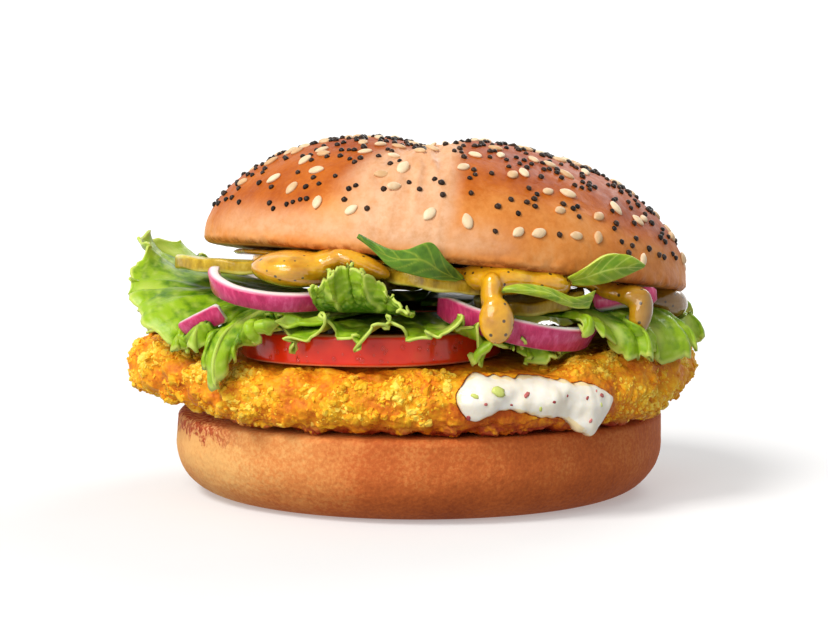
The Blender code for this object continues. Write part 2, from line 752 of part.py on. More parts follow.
def pickle_shape(point, radius):
    """Not quite round, and bent a little like a saddle."""
    angle = math.atan2(point.y, point.x)
    oval = 1 + PICKLE_OVAL * math.sin(2 * angle + radius)
    bend = PICKLE_BEND * (point.x * point.x - point.y * point.y) / (radius * MM) ** 2
    return Vector((point.x * oval, point.y * oval, point.z + bend))


# Tomato

def make_tomato(name, slice_at):
    cx, cy, radius = slice_at
    bpy.ops.mesh.primitive_cylinder_add(vertices=TOMATO_SIDES, radius=radius, depth=TOMATO_THICK)
    obj = primitive(name)
    bevel = obj.modifiers.new("Skin", "BEVEL")
    bevel.width = TOMATO_SKIN
    bevel.segments = 1
    bevel.limit_method = "ANGLE"
    apply_modifiers(obj)
    reshape(obj, tomato_shape)
    obj.location = (cx, cy, TOMATO_BASE + TOMATO_THICK / 2)
    return obj


def tomato_shape(point):
    """A tomato slice is gently lobed."""
    angle = math.atan2(point.y, point.x)
    lobed = 1 - TOMATO_LOBE * (1 - math.cos(TOMATO_LOBES * angle))
    return Vector((point.x * lobed, point.y * lobed, point.z))


# Sauce: a spread layer under the top bun, and the places where it has run out, as centre, radii in mm
# and turns about X, Y and Z in degrees

SAUCE_RUNS = [
    ((-25.5, -44.5, 52.3), (9.4, 9.2, 3.9), (0, 2, 6)),
    ((-12.0, -49.8, 53.6), (6.8, 3.6, 2.2), (0, 22, 4)),
    ((-17.5, -46.5, 54.2), (5.0, 5.5, 2.4), (0, 0, 0)),
    ((16.5, -47.2, 50.6), (8.4, 6.4, 3.6), (0, 3, 4)),
    ((25.0, -45.5, 49.6), (6.6, 5.6, 3.3), (0, 8, 12)),
    ((14.6, -53.6, 47.6), (2.4, 2.8, 4.8), (10, 0, 0)),
    ((15.5, -56.4, 42.6), (3.7, 2.4, 5.0), (0, -4, 0)),
    ((42.0, -31.5, 46.4), (6.0, 6.0, 2.4), (0, 8, 0)),
    ((46.5, -37.6, 42.6), (2.6, 2.2, 5.2), (0, 8, 0)),
    ((45.0, -35.4, 46.0), (4.0, 3.8, 2.4), (0, 8, 0)),
    ((52.5, -15.5, 43.2), (6.8, 6.4, 4.2), (0, 8, 20)),
    ((-33.0, 36.0, 48.4), (9.0, 6.0, 2.6), (0, 5, -40)),
    ((24.0, 41.0, 43.6), (8.0, 6.0, 2.2), (0, 5, 30)),
]


def make_sauce(helpers, neighbours):
    top, bottom = -2 * GAP, -2 * GAP - SAUCE_THICK
    profile = [(0, top), (SAUCE_RADIUS - SAUCE_EDGE, top), (SAUCE_RADIUS, (top + bottom) / 2)]
    profile += [(SAUCE_RADIUS - SAUCE_EDGE, bottom), (0, bottom)]
    obj = turned("mustard_sauce", profile, SAUCE_STEPS)
    obj.data.transform(CROWN_MATRIX)
    for number, (centre, radii, turns) in enumerate(SAUCE_RUNS):
        move_to(ellipsoid(f"run_{number}", centre, radii, turns), helpers)
    fuse(obj, helpers)
    return cut_clear(face_out(obj), neighbours)


# The seeded crown

def seed_places(count, spacing, pick, taken):
    """Places seen from above, thrown at random with at least spacing between them."""
    places = []
    for _ in range(60 * count):
        reach = CROWN_RADIUS * 0.985 * math.sqrt(pick.random())
        angle = 2 * math.pi * pick.random()
        here = Vector((reach * math.cos(angle), reach * math.sin(angle)))
        near = any((here - other).length < spacing for other in places)
        hit = any((here - other).length < SEED_APART for other in taken)
        if not near and not hit:
            places.append(here)
        if len(places) == count:
            break
    return places


def seed_on(tree, name, size, place, spin, rise, helpers):
    """One seed partly sunk in the crust, lying flat on it: its middle is up by a share of its half height."""
    hit, normal, _face, _span = tree.ray_cast(Vector((place.x, place.y, 1)), Vector((0, 0, -1)))
    bpy.ops.mesh.primitive_ico_sphere_add(subdivisions=1, radius=1)
    seed = primitive(name)
    lie = normal.to_track_quat("Z", "Y").to_matrix().to_4x4()
    turn = Matrix.Rotation(spin, 4, "Z")
    sunk = hit + normal * size[2] * rise
    seed.data.transform(Matrix.Translation(sunk) @ lie @ turn @ Matrix.Diagonal((*size, 1)))
    move_to(seed, helpers)


def make_crown(helpers):
    obj = reshape(turned("bun_top", crown_profile(), CROWN_STEPS), crown_shape)
    tree = tree_of(obj)
    pick = random.Random(SEED_RANDOM)
    sesame = seed_places(SESAME_COUNT, SESAME_SPACING, pick, [])
    poppy = seed_places(POPPY_COUNT, POPPY_SPACING, pick, sesame)
    for number, place in enumerate(sesame):
        spin = 2 * math.pi * pick.random()
        seed_on(tree, f"sesame_{number}", SESAME_SIZE, place, spin, SESAME_RISE, helpers)
    for number, place in enumerate(poppy):
        seed_on(tree, f"poppy_{number}", (POPPY_RADIUS,) * 3, place, 0, POPPY_RISE, helpers)
    fuse(obj, helpers)
    obj.matrix_world = CROWN_MATRIX
    return obj


# Colour of each sub-part in linear RGB, and its roughness

FINISHES = {
    "bun_bottom": ((0.58, 0.25, 0.085), 0.6),
    "bun_top": ((0.62, 0.26, 0.08), 0.45),
    "patty": ((0.80, 0.36, 0.04), 0.6),
    "cream": ((0.85, 0.82, 0.72), 0.3),
    "tomato": ((0.62, 0.035, 0.015), 0.25),
    "lettuce": ((0.25, 0.50, 0.02), 0.45),
    "herb": ((0.06, 0.20, 0.03), 0.45),
    "onion": ((0.42, 0.03, 0.16), 0.35),
    "pickle": ((0.30, 0.25, 0.03), 0.35),
    "mustard": ((0.66, 0.33, 0.03), 0.25),
}


def main():
    clear_scene()
    burger = make_collection("chicken_burger")
    helpers = make_collection("helpers")
    helpers.hide_render = True
    holder = bpy.data.objects.new("burger", None)
    burger.objects.link(holder)
    finishes = {name: make_material(name, *look) for name, look in FINISHES.items()}

    def keep(obj, finish):
        """Files a finished sub-part in the burger's collection with its material."""
        move_to(obj, burger)
        obj.data.materials.clear()
        obj.data.materials.append(finishes[finish])
        obj.parent = holder
        obj.data.shade_smooth()
        obj.data.set_sharp_from_angle(angle=SHARP_FROM)
        return obj

    heel = keep(reshape(turned("bun_bottom", heel_profile(), HEEL_STEPS), heel_shape), "bun_bottom")
    cream = keep(make_cream("cream_filling", helpers), "cream")
    patty = reshape(turned("chicken_patty", patty_profile(), PATTY_STEPS), patty_shape)
    hollow = make_cream("cream_hollow", helpers, CREAM_CLEAR)
    keep(cut(patty, hollow), "patty")
    bpy.data.objects.remove(hollow)
    crown = keep(make_crown(helpers), "bun_top")
    tomatoes = [keep(make_tomato("tomato_front", TOMATO_FRONT), "tomato")]
    tomatoes.append(keep(make_tomato("tomato_back", TOMATO_BACK), "tomato"))
    onions = [keep(make_onion(name), "onion") for name in ONIONS]
    pickles = [keep(make_pickle(name), "pickle") for name in PICKLES]
    firm = [heel, patty, cream, crown, *tomatoes, *onions, *pickles]
    sauce = keep(make_sauce(helpers, [crown, *onions, *pickles]), "mustard")
    leaves = []
    for name in LEAVES:
        leaves.append(keep(make_leaf(name, [*firm, sauce, *leaves]), "lettuce"))
    for name in HERBS:
        leaves.append(keep(make_herb(name, [*firm, sauce, *leaves]), "herb"))
    bpy.context.view_layer.update()


if __name__ == "__main__":
    main()
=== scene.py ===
"""The chicken burger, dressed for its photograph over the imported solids.

Lengths are in metres unless a name or a comment says mm. The front is -Y, the right is +X, and the
base is at the origin. The main shapes repeat the part's own formulas at a finer step.
"""

import math
import random

import bmesh
import bpy
import numpy as np
from mathutils import Matrix, Vector, noise
from mathutils.bvhtree import BVHTree


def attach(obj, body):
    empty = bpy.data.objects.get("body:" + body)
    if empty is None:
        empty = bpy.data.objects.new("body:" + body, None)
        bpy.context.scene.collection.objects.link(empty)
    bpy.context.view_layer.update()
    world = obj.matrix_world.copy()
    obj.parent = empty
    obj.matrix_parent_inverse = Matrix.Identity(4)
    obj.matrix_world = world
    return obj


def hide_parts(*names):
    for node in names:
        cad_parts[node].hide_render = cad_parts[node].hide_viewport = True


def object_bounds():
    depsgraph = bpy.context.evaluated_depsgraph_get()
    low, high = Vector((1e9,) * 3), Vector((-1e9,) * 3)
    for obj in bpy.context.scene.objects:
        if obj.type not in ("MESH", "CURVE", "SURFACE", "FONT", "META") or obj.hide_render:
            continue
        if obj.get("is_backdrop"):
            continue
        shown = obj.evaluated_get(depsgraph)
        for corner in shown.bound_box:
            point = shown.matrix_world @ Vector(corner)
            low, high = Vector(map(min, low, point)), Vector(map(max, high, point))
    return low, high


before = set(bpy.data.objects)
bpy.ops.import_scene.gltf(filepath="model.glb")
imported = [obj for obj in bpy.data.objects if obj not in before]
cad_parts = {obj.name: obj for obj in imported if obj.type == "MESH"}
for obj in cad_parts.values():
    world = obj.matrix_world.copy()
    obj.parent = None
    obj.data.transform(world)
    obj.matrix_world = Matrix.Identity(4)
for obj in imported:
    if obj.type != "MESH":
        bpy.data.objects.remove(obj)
CAD_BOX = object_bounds()

# Without a seed, noise_vector starts from the time of day
noise.seed_set(6)

MM = 0.001
GAP = 0.35 * MM
PUSH_REACH = 5 * MM
SETTLE_ROUNDS = 8

# The camera: distance from the point it looks at, and its height above the horizon
CAMERA_TARGET = Vector((-1.1 * MM, 0, 38.5 * MM))
CAMERA_DISTANCE = 500 * MM
CAMERA_ELEVATION = math.radians(5)
CAMERA_LENS = 95.8

# The lights: where each one stands in metres, and how strong and how wide it is
WORLD_STRENGTH = 0.42
KEY_SUN = {"place": (-0.50, -0.45, 0.85), "strength": 2.3, "softness": 22}
FRONT_SOFTBOX = {"place": (-0.55, -1.1, 0.50), "size": 0.7, "power": 7}
BACK_SOFTBOX = {"place": (0.5, 0.9, 0.8), "size": 0.6, "power": 5}
LIGHTS_LOOK_AT = Vector((0, 0, 40 * MM))

# Steps round each turned shape
HEEL_STEPS = 420
CROWN_STEPS = 520
PATTY_STEPS = 980
TOMATO_STEPS = 260
PICKLE_STEPS = 200
SAUCE_STEPS = 96

# The bottom half of the bun
HEEL_RADIUS = 55 * MM
HEEL_HEIGHT = 18 * MM
HEEL_EDGE = 11 * MM
HEEL_LIP = 0.8 * MM

# The patty
PATTY_WIDE = 64 * MM
PATTY_SHIFT = -1.2 * MM
PATTY_DEEP = 57 * MM
PATTY_NOMINAL = 60 * MM
PATTY_CORE = 52 * MM
PATTY_THICK = 13.6 * MM
PATTY_BASE = HEEL_HEIGHT + GAP
PATTY_TOP = PATTY_BASE + PATTY_THICK
PATTY_SQUARENESS = 2.4
PATTY_LIFT = 3.6 * MM
PATTY_CURL_RIGHT = 5 * MM
PATTY_CURL_LEFT = 3.4 * MM
CRAG_DEPTH = 1.8 * MM
CRAG_SIZE = 6.5 * MM

# Crumbs on the coating: how many, how finely divided, and the smallest and largest half length in mm
COARSE_CRUMBS = (2400, 2, (0.6, 1.35))
FINE_CRUMBS = (9800, 1, (0.35, 0.8))
CRUMB_SHAPES = 9

# The cream filling: its outline where it has burst out, in mm, and its core inside the patty
CREAM_FROM = math.radians(277.6)
CREAM_TO = math.radians(312.6)
CREAM_THICK = 2.0 * MM
CREAM_SUNK = 0.9 * MM
CREAM_TOP = [29.5, 31.6, 30.8, 30.7, 30.9, 29.9, 29.2, 28.6, 27.0]
CREAM_BOTTOM = [24.0, 21.6, 22.6, 23.9, 24.1, 23.6, 22.6, 22.2, 21.9, 19.2, 17.9, 20.6, 24.0]
CREAM_CORE = ((0, 0, 25.2), (44, 38, 3.2))
CREAM_WAY_OUT = ((20, -42, 26.4), (12, 12, 3.0))
CREAM_CLEAR = 0.12 * MM

# Bits of herb and red pepper on the cream: place across, height and half length in mm
CREAM_BITS = [
    ("green", 16.0, 28.2, 1.45), ("green", 11.2, 27.4, 0.8), ("green", 24.6, 24.4, 0.5),
    ("green", 37.4, 24.6, 0.5), ("red", 21.8, 27.4, 0.75), ("red", 9.9, 22.9, 0.8),
    ("red", 31.2, 29.2, 0.42), ("red", 37.6, 26.4, 0.55), ("red", 35.1, 21.4, 0.5),
    ("red", 34.4, 26.2, 0.42), ("red", 13.4, 25.8, 0.5), ("red", 18.6, 25.4, 0.35),
    ("red", 27.4, 25.8, 0.4), ("red", 30.2, 26.8, 0.3), ("red", 36.4, 27.4, 0.35),
]

# Slices of tomato: centre across, centre deep, radius
TOMATO_THICK = 6.6 * MM
TOMATO_SLICES = {
    "tomato_front": (-10.7 * MM, -21.5 * MM, 28.5 * MM),
    "tomato_back": (-2 * MM, 33.5 * MM, 24 * MM),
}
TOMATO_BASE = PATTY_TOP + GAP
WATER_DROPS = 46

# The top half of the bun
CROWN_RADIUS = 54.5 * MM
CROWN_RISE = 26.8 * MM
CROWN_EDGE = 1.8 * MM
CROWN_FULLNESS = (2.9, 0.58)
CROWN_FALL = 0.065
CLEFT_DEPTH = 3.4 * MM
CROWN_MATRIX = (
    Matrix.Translation(Vector((5.7, 0, 49.6)) * MM)
    @ Matrix.Rotation(math.radians(6), 4, "Y")
    @ Matrix.Rotation(math.radians(-4.9), 4, "X")
)
SESAME_SIZE = (1.65 * MM, 1.05 * MM, 0.55 * MM)
POPPY_RADIUS = 0.6 * MM
SOLID_SEEDS = (30, 9)
ALL_SEEDS = (170, 700)

# The sauce, and how thick leaves, onion walls and pickle slices are
SAUCE_RADIUS = 48 * MM
SAUCE_THICK = 1.2 * MM
SAUCE_VOXEL = 0.5 * MM
LEAF_THICK = 0.6 * MM
ONION_WALL = 2.2 * MM
PICKLE_THICK = 2.8 * MM


# Small helpers

def smooth(low, high, value):
    """0 below low, 1 above high, and an even S between them."""
    share = min(1.0, max(0.0, (value - low) / (high - low)))
    return share * share * (3 - 2 * share)


def between(values, share):
    """The value at a share of the way along an evenly spaced list, on a smooth curve."""
    place = min(max(share, 0.0), 1.0) * (len(values) - 1)
    low = min(int(place), len(values) - 2)
    part = place - low
    before, here = values[max(low - 1, 0)], values[low]
    after, beyond = values[low + 1], values[min(low + 2, len(values) - 1)]
    slope_here, slope_after = (after - before) / 2, (beyond - here) / 2
    cubic = 2 * here - 2 * after + slope_here + slope_after
    square = 3 * (after - here) - 2 * slope_here - slope_after
    return ((cubic * part + square) * part + slope_here) * part + here


def lumps(point, size, seed):
    """Even noise from -1 to 1 whose lumps are about as large as size."""
    return noise.noise(point / size + Vector((seed, -seed, 0.5 * seed)))


def new_object(name, points, faces):
    mesh = bpy.data.meshes.new(name)
    mesh.from_pydata(points, [], faces)
    obj = bpy.data.objects.new(name, mesh)
    bpy.context.scene.collection.objects.link(obj)
    return obj


def finish_piece(obj, paint, slot, *replaced):
    """Paints a piece, smooths it and ties it to the frame."""
    obj.data.materials.clear()
    obj.data.materials.append(paint)
    obj.data.shade_smooth()
    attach(obj, "root")
    if replaced:
        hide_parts(*replaced)
    return obj


def apply_modifiers(obj):
    bpy.context.view_layer.update()
    graph = bpy.context.evaluated_depsgraph_get()
    mesh = bpy.data.meshes.new_from_object(obj.evaluated_get(graph))
    obj.modifiers.clear()
    obj.data = mesh
    return obj


def store(obj, name, values):
    """Keeps a number for each point of a mesh, for its material."""
    layer = obj.data.attributes.new(name, "FLOAT", "POINT")
    layer.data.foreach_set("value", values)


def turned(name, profile, steps, shape):
    """A closed turned body from (radius, height) points down its side, each point moved by shape."""
    rim = [(math.cos(2 * math.pi * i / steps), math.sin(2 * math.pi * i / steps)) for i in range(steps)]
    points = [shape(Vector((0, 0, profile[0][1])))]
    for radius, height in profile[1:-1]:
        points += [shape(Vector((radius * c, radius * s, height))) for c, s in rim]
    points.append(shape(Vector((0, 0, profile[-1][1]))))
    faces = [(0, 1 + i, 1 + (i + 1) % steps) for i in range(steps)]
    for ring in range(len(profile) - 3):
        upper, lower = 1 + ring * steps, 1 + (ring + 1) * steps
        for i in range(steps):
            after = (i + 1) % steps
            faces.append((upper + i, lower + i, lower + after, upper + after))
    last, lower = len(points) - 1, len(points) - 1 - steps
    faces += [(last, lower + (i + 1) % steps, lower + i) for i in range(steps)]
    return new_object(name, points, faces)


def finer(profile, spacing):
    """A profile with points added so that none is further than spacing from the next."""
    points = [profile[0]]
    for start, stop in zip(profile, profile[1:]):
        pieces = max(1, math.ceil(math.dist(start, stop) / spacing))
        for i in range(1, pieces + 1):
            points.append(tuple(a + (b - a) * i / pieces for a, b in zip(start, stop)))
    return points


def tree_of(obj):
    points = [vertex.co.copy() for vertex in obj.data.vertices]
    return BVHTree.FromPolygons(points, [tuple(face.vertices) for face in obj.data.polygons])


def corners(obj):
    coords = np.empty(len(obj.data.vertices) * 3, np.float32)
    obj.data.vertices.foreach_get("co", coords)
    coords = coords.reshape(-1, 3)
    return coords.min(0), coords.max(0)


def beside(obj, other, reach):
    """True if the boxes of two objects come within reach of each other."""
    (low, high), (other_low, other_high) = corners(obj), corners(other)
    return bool((low - reach < other_high).all() and (high + reach > other_low).all())


def way_out(point, tree, distance):
    """How far a point has to move to be clear of a neighbour by distance."""
    near, normal, _face, span = tree.find_nearest(point, PUSH_REACH)
    if near is None:
        return Vector()
    away = point - near
    if away.dot(normal) < -0.6 * span:
        return normal * distance - away
    if span < distance:
        return away.normalized() * (distance - span)
    return Vector()


def settle(obj, neighbours, distance):
    """Lays a sheet against its neighbours: a point inside one or too near moves out, and drags the next."""
    trees = [tree_of(other) for other in neighbours if beside(obj, other, PUSH_REACH)]
    linked = [[] for _ in obj.data.vertices]
    for first, second in (edge.vertices for edge in obj.data.edges):
        linked[first].append(second)
        linked[second].append(first)
    for turn in range(SETTLE_ROUNDS):
        moves = []
        for vertex in obj.data.vertices:
            moves.append(sum((way_out(vertex.co, tree, distance) for tree in trees), Vector()))
        for vertex in obj.data.vertices:
            own = moves[vertex.index]
            around = [moves[other] for other in linked[vertex.index]]
            drag = sum(around, Vector()) / len(around)
            last = turn == SETTLE_ROUNDS - 1
            vertex.co += own if own.length > 0 or last else 0.6 * drag
    obj.data.update()


def inflated(other, distance):
    """A helper that is a neighbour's shape grown by distance, to cut with."""
    cutter = bpy.data.objects.new("grown_" + other.name, other.data.copy())
    bpy.context.scene.collection.objects.link(cutter)
    grow = cutter.modifiers.new("Grow", "DISPLACE")
    grow.mid_level = 0
    grow.strength = distance
    return apply_modifiers(cutter)


def boolean(obj, other, operation):
    """Joins a helper to an object or takes it out of it, and removes the helper."""
    before = obj.data
    change = obj.modifiers.new("Change", "BOOLEAN")
    change.operation = operation
    change.solver = "MANIFOLD"
    change.object = other
    apply_modifiers(obj)
    if not obj.data.vertices:
        obj.data = before
    bpy.data.objects.remove(other)
    return obj


def cut_clear(obj, neighbours, distance):
    """Cuts away whatever of a soft piece still lies within distance of its neighbours."""
    for other in neighbours:
        if beside(obj, other, distance) and tree_of(obj).overlap(tree_of(other)):
            boolean(obj, inflated(other, distance), "DIFFERENCE")
    return obj


def ellipsoid(name, centre, radii, turns=(0, 0, 0), segments=32, rings=16):
    """centre and radii are in mm, and turns in degrees."""
    place = Matrix.Translation(Vector(centre) * MM)
    for axis, turn in zip("XYZ", turns):
        place = place @ Matrix.Rotation(math.radians(turn), 4, axis)
    place = place @ Matrix.Diagonal((*(radius * MM for radius in radii), 1))
    shape = bmesh.new()
    bmesh.ops.create_uvsphere(shape, u_segments=segments, v_segments=rings, radius=1, matrix=place)
    obj = new_object(name, [], [])
    shape.to_mesh(obj.data)
    shape.free()
    return obj


def joined_copies(name, templates, placed, lighter=0.0):
    """One mesh of many small things: placed lists (template number, matrix, tone). Painted light may raise
    the tone towards each thing's top.
    """
    points, faces, tones, first = [], [], [], 0
    for number, matrix, tone in placed:
        shape, sides = templates[number]
        spun = shape @ np.array(matrix.to_3x3()).T + np.array(matrix.translation)
        points.append(spun)
        faces.append(sides + first)
        tones.append(tone + lighter * shape[:, 2])
        first += len(shape)
    obj = new_object(name, np.concatenate(points), np.concatenate(faces).tolist())
    store(obj, "tone", np.concatenate(tones))
    return obj


def pebble(subdivisions, uneven, seed):
    """A template for joined_copies: a ball of radius 1, uneven by a share of it."""
    shape = bmesh.new()
    bmesh.ops.create_icosphere(shape, subdivisions=subdivisions, radius=1)
    points = []
    for vertex in shape.verts:
        swell = 1 + uneven * noise.noise(vertex.co * 1.3 + Vector((seed, 0, -seed)))
        swell += 0.6 * uneven * noise.noise(vertex.co * 3.1 + Vector((0, seed, seed)))
        points.append(vertex.co * swell)
    faces = [[vertex.index for vertex in face.verts] for face in shape.faces]
    shape.free()
    return np.array(points), np.array(faces)


def flake(subdivisions, seed):
    """A template for joined_copies: a flattish crumb with broken faces, in a ball of radius 1."""
    pick = random.Random(seed)
    points, faces = pebble(subdivisions, 0.35, seed)
    for _ in range(7):
        facing = Vector([pick.gauss(0, 1) for _ in range(3)]).normalized()
        over = np.maximum(points @ np.array(facing) - (0.35 + 0.4 * pick.random()), 0)
        points = points - np.outer(over, facing)
    points[:, 2] *= 0.75
    return points, faces


def lying(place, normal, spin, size):
    """A matrix that lays a thing of this size on a surface, turned by spin."""
    lie = normal.to_track_quat("Z", "Y").to_matrix().to_4x4()
    return Matrix.Translation(place) @ lie @ Matrix.Rotation(spin, 4, "Z") @ Matrix.Diagonal((*size, 1))


# Materials

# Most of a noise texture lies between these two values
NOISE_LOW = 0.3
NOISE_HIGH = 0.7


class Paint:
    """Builds one node material on a Principled shader. Sizes are in mm of the real thing."""

    def __init__(self, name, **sockets):
        self.material = bpy.data.materials.new(name)
        self.material.use_nodes = True
        self.nodes = self.material.node_tree.nodes
        self.links = self.material.node_tree.links
        self.shader = self.nodes["Principled BSDF"]
        for socket, value in sockets.items():
            self.shader.inputs[socket.replace("_", " ")].default_value = value
        self.where = self.nodes.new("ShaderNodeTexCoord").outputs["Object"]

    def join(self, source, target):
        if hasattr(source, "links"):
            self.links.new(source, target)
        else:
            target.default_value = source

    def noise(self, size, detail=4.0, rough=0.6, stretch=None):
        texture = self.nodes.new("ShaderNodeTexNoise")
        texture.inputs["Scale"].default_value = 1 / (size * MM)
        texture.inputs["Detail"].default_value = detail
        texture.inputs["Roughness"].default_value = rough
        self.links.new(self.stretched(stretch), texture.inputs["Vector"])
        return texture.outputs["Fac"]

    def cells(self, size):
        texture = self.nodes.new("ShaderNodeTexVoronoi")
        texture.inputs["Scale"].default_value = 1 / (size * MM)
        self.links.new(self.where, texture.inputs["Vector"])
        return texture.outputs["Distance"]

    def stretched(self, stretch):
        if stretch is None:
            return self.where
        mapping = self.nodes.new("ShaderNodeMapping")
        mapping.inputs["Scale"].default_value = stretch
        self.links.new(self.where, mapping.inputs["Vector"])
        return mapping.outputs["Vector"]

    def axis(self, name):
        split = self.nodes.new("ShaderNodeSeparateXYZ")
        self.links.new(self.where, split.inputs["Vector"])
        return split.outputs[name]

    def distance(self):
        """How far the point is from the middle of the base, in metres."""
        length = self.nodes.new("ShaderNodeVectorMath")
        length.operation = "LENGTH"
        self.links.new(self.where, length.inputs[0])
        return length.outputs["Value"]

    def stored(self, name):
        read = self.nodes.new("ShaderNodeAttribute")
        read.attribute_name = name
        return read.outputs["Fac"]

    def span(self, value, low, high, to_low=0.0, to_high=1.0):
        """value from low to high becomes to_low to to_high, on an even S."""
        turn = self.nodes.new("ShaderNodeMapRange")
        turn.interpolation_type = "SMOOTHSTEP"
        self.links.new(value, turn.inputs["Value"])
        ends = {"From Min": low, "From Max": high, "To Min": to_low, "To Max": to_high}
        for socket, number in ends.items():
            turn.inputs[socket].default_value = number
        return turn.outputs["Result"]

    def spread(self, texture, to_low, to_high):
        """A noise texture spread from to_low to to_high."""
        return self.span(texture, NOISE_LOW, NOISE_HIGH, to_low, to_high)

    def uneven(self, value, texture, less, more):
        """A value made uneven by a noise texture, by up to less below it and more above it."""
        return self.maths("ADD", value, self.spread(texture, -less, more))

    def maths(self, operation, first, second):
        sum_up = self.nodes.new("ShaderNodeMath")
        sum_up.operation = operation
        self.join(first, sum_up.inputs[0])
        self.join(second, sum_up.inputs[1])
        return sum_up.outputs["Value"]

    def ramp(self, value, *stops):
        """A colour for each place of value: stops are (place, (r, g, b)) in linear light."""
        ramp = self.nodes.new("ShaderNodeValToRGB")
        band = ramp.color_ramp
        while len(band.elements) < len(stops):
            band.elements.new(0.5)
        for element, (place, colour) in zip(band.elements, stops):
            element.position = place
            element.color = (*colour, 1)
        self.links.new(value, ramp.inputs["Fac"])
        return ramp.outputs["Color"]

    def mix(self, share, first, second):
        mixer = self.nodes.new("ShaderNodeMix")
        mixer.data_type = "RGBA"
        self.join(share, mixer.inputs["Factor"])
        for colour, socket in ((first, mixer.inputs[6]), (second, mixer.inputs[7])):
            self.join((*colour, 1) if isinstance(colour, tuple) else colour, socket)
        return mixer.outputs[2]

    def colour(self, source):
        self.links.new(source, self.shader.inputs["Base Color"])

    def rough(self, source):
        self.links.new(source, self.shader.inputs["Roughness"])

    def bump(self, *layers):
        """Each layer is (height, depth in mm)."""
        normal = None
        for height, depth in layers:
            bump = self.nodes.new("ShaderNodeBump")
            bump.inputs["Strength"].default_value = 1
            bump.inputs["Distance"].default_value = depth * MM
            self.links.new(height, bump.inputs["Height"])
            if normal is not None:
                self.links.new(normal, bump.inputs["Normal"])
            normal = bump.outputs["Normal"]
        self.links.new(normal, self.shader.inputs["Normal"])


def bread_bottom_paint():
    """Fine-grained crust, pale at the left, browner towards the right through painted shade and browner
    towards the bottom, with a toasted cut rim.
    """
    paint = Paint("bread_bottom", Roughness=0.7, Specular_IOR_Level=0.12)
    grain = paint.noise(0.8, 3, 0.7)
    # Painted shade: the crust darkens towards the right, away from the key light. It also darkens towards
    # the bottom.
    side = paint.span(paint.axis("X"), -0.052, 0.004)
    low = paint.span(paint.axis("Z"), 0.011, 0.0)
    browned = paint.maths("ADD", paint.maths("MULTIPLY", side, 0.62), paint.maths("MULTIPLY", low, 0.22))
    browned = paint.uneven(browned, paint.noise(13, 3), 0.10, 0.10)
    browned = paint.uneven(browned, grain, 0.12, 0.12)
    crust = paint.ramp(
        browned, (0.0, (0.82, 0.43, 0.14)), (0.3, (0.70, 0.25, 0.065)), (0.6, (0.54, 0.125, 0.026)),
        (1.0, (0.32, 0.060, 0.013))
    )
    ragged = paint.uneven(paint.axis("Z"), paint.noise(2.8, 2), 0.0014, 0.0014)
    rim = paint.span(ragged, 0.0138, 0.0150)
    left = paint.span(paint.axis("X"), -0.034, -0.046)
    patches = paint.span(paint.noise(1.5, 2), 0.40, 0.50, 0.35, 1.0)
    toasted = paint.maths("MULTIPLY", rim, paint.maths("MULTIPLY", left, patches))
    burnt = paint.ramp(
        paint.noise(0.9, 4),
        (0.3, (0.24, 0.02, 0.008)), (0.52, (0.50, 0.09, 0.025)), (0.66, (0.82, 0.42, 0.18))
    )
    paint.colour(paint.mix(toasted, crust, burnt))
    paint.bump((grain, 0.10), (paint.cells(1.3), 0.10), (paint.noise(5, 2), 0.25))
    return paint.material


def bread_top_paint():
    """Glazed crust: orange-brown on top, paler low down and palest where the dough has stretched, with
    painted shade darker towards the right.
    """
    paint = Paint("bread_top", Specular_IOR_Level=0.14)
    fine = paint.noise(1.1, 4, 0.65)
    tone = paint.uneven(paint.stored("browned"), paint.noise(11, 3), 0.09, 0.09)
    tone = paint.uneven(tone, fine, 0.05, 0.05)
    crust = paint.ramp(
        tone, (0.0, (0.78, 0.38, 0.14)), (0.25, (0.70, 0.25, 0.052)), (0.5, (0.53, 0.128, 0.010)),
        (0.75, (0.36, 0.064, 0.005)), (1.0, (0.14, 0.026, 0.006))
    )
    dough = paint.noise(2.4, 4, 0.7, (1, 0.35, 1))
    stretched = paint.ramp(dough, (0.3, (0.66, 0.31, 0.13)), (0.6, (0.78, 0.44, 0.25)))
    streaks = paint.span(paint.noise(3.2, 3), 0.2, 0.5, 0.75, 1.0)
    surface = paint.mix(paint.maths("MULTIPLY", paint.stored("band"), streaks), crust, stretched)
    patches = paint.span(paint.noise(2.2, 4), 0.42, 0.58, 0.25, 1.0)
    scorched = paint.maths("MULTIPLY", paint.stored("edge"), patches)
    surface = paint.mix(scorched, surface, (0.36, 0.105, 0.020))
    inside = paint.ramp(paint.noise(2.0, 4), (0.3, (0.50, 0.22, 0.07)), (0.6, (0.80, 0.56, 0.32)))
    paint.colour(paint.mix(paint.stored("under"), surface, inside))
    paint.rough(paint.spread(paint.noise(4, 3), 0.42, 0.60))
    paint.bump((fine, 0.08), (paint.noise(3.5, 3, 0.6), 0.14))
    return paint.material


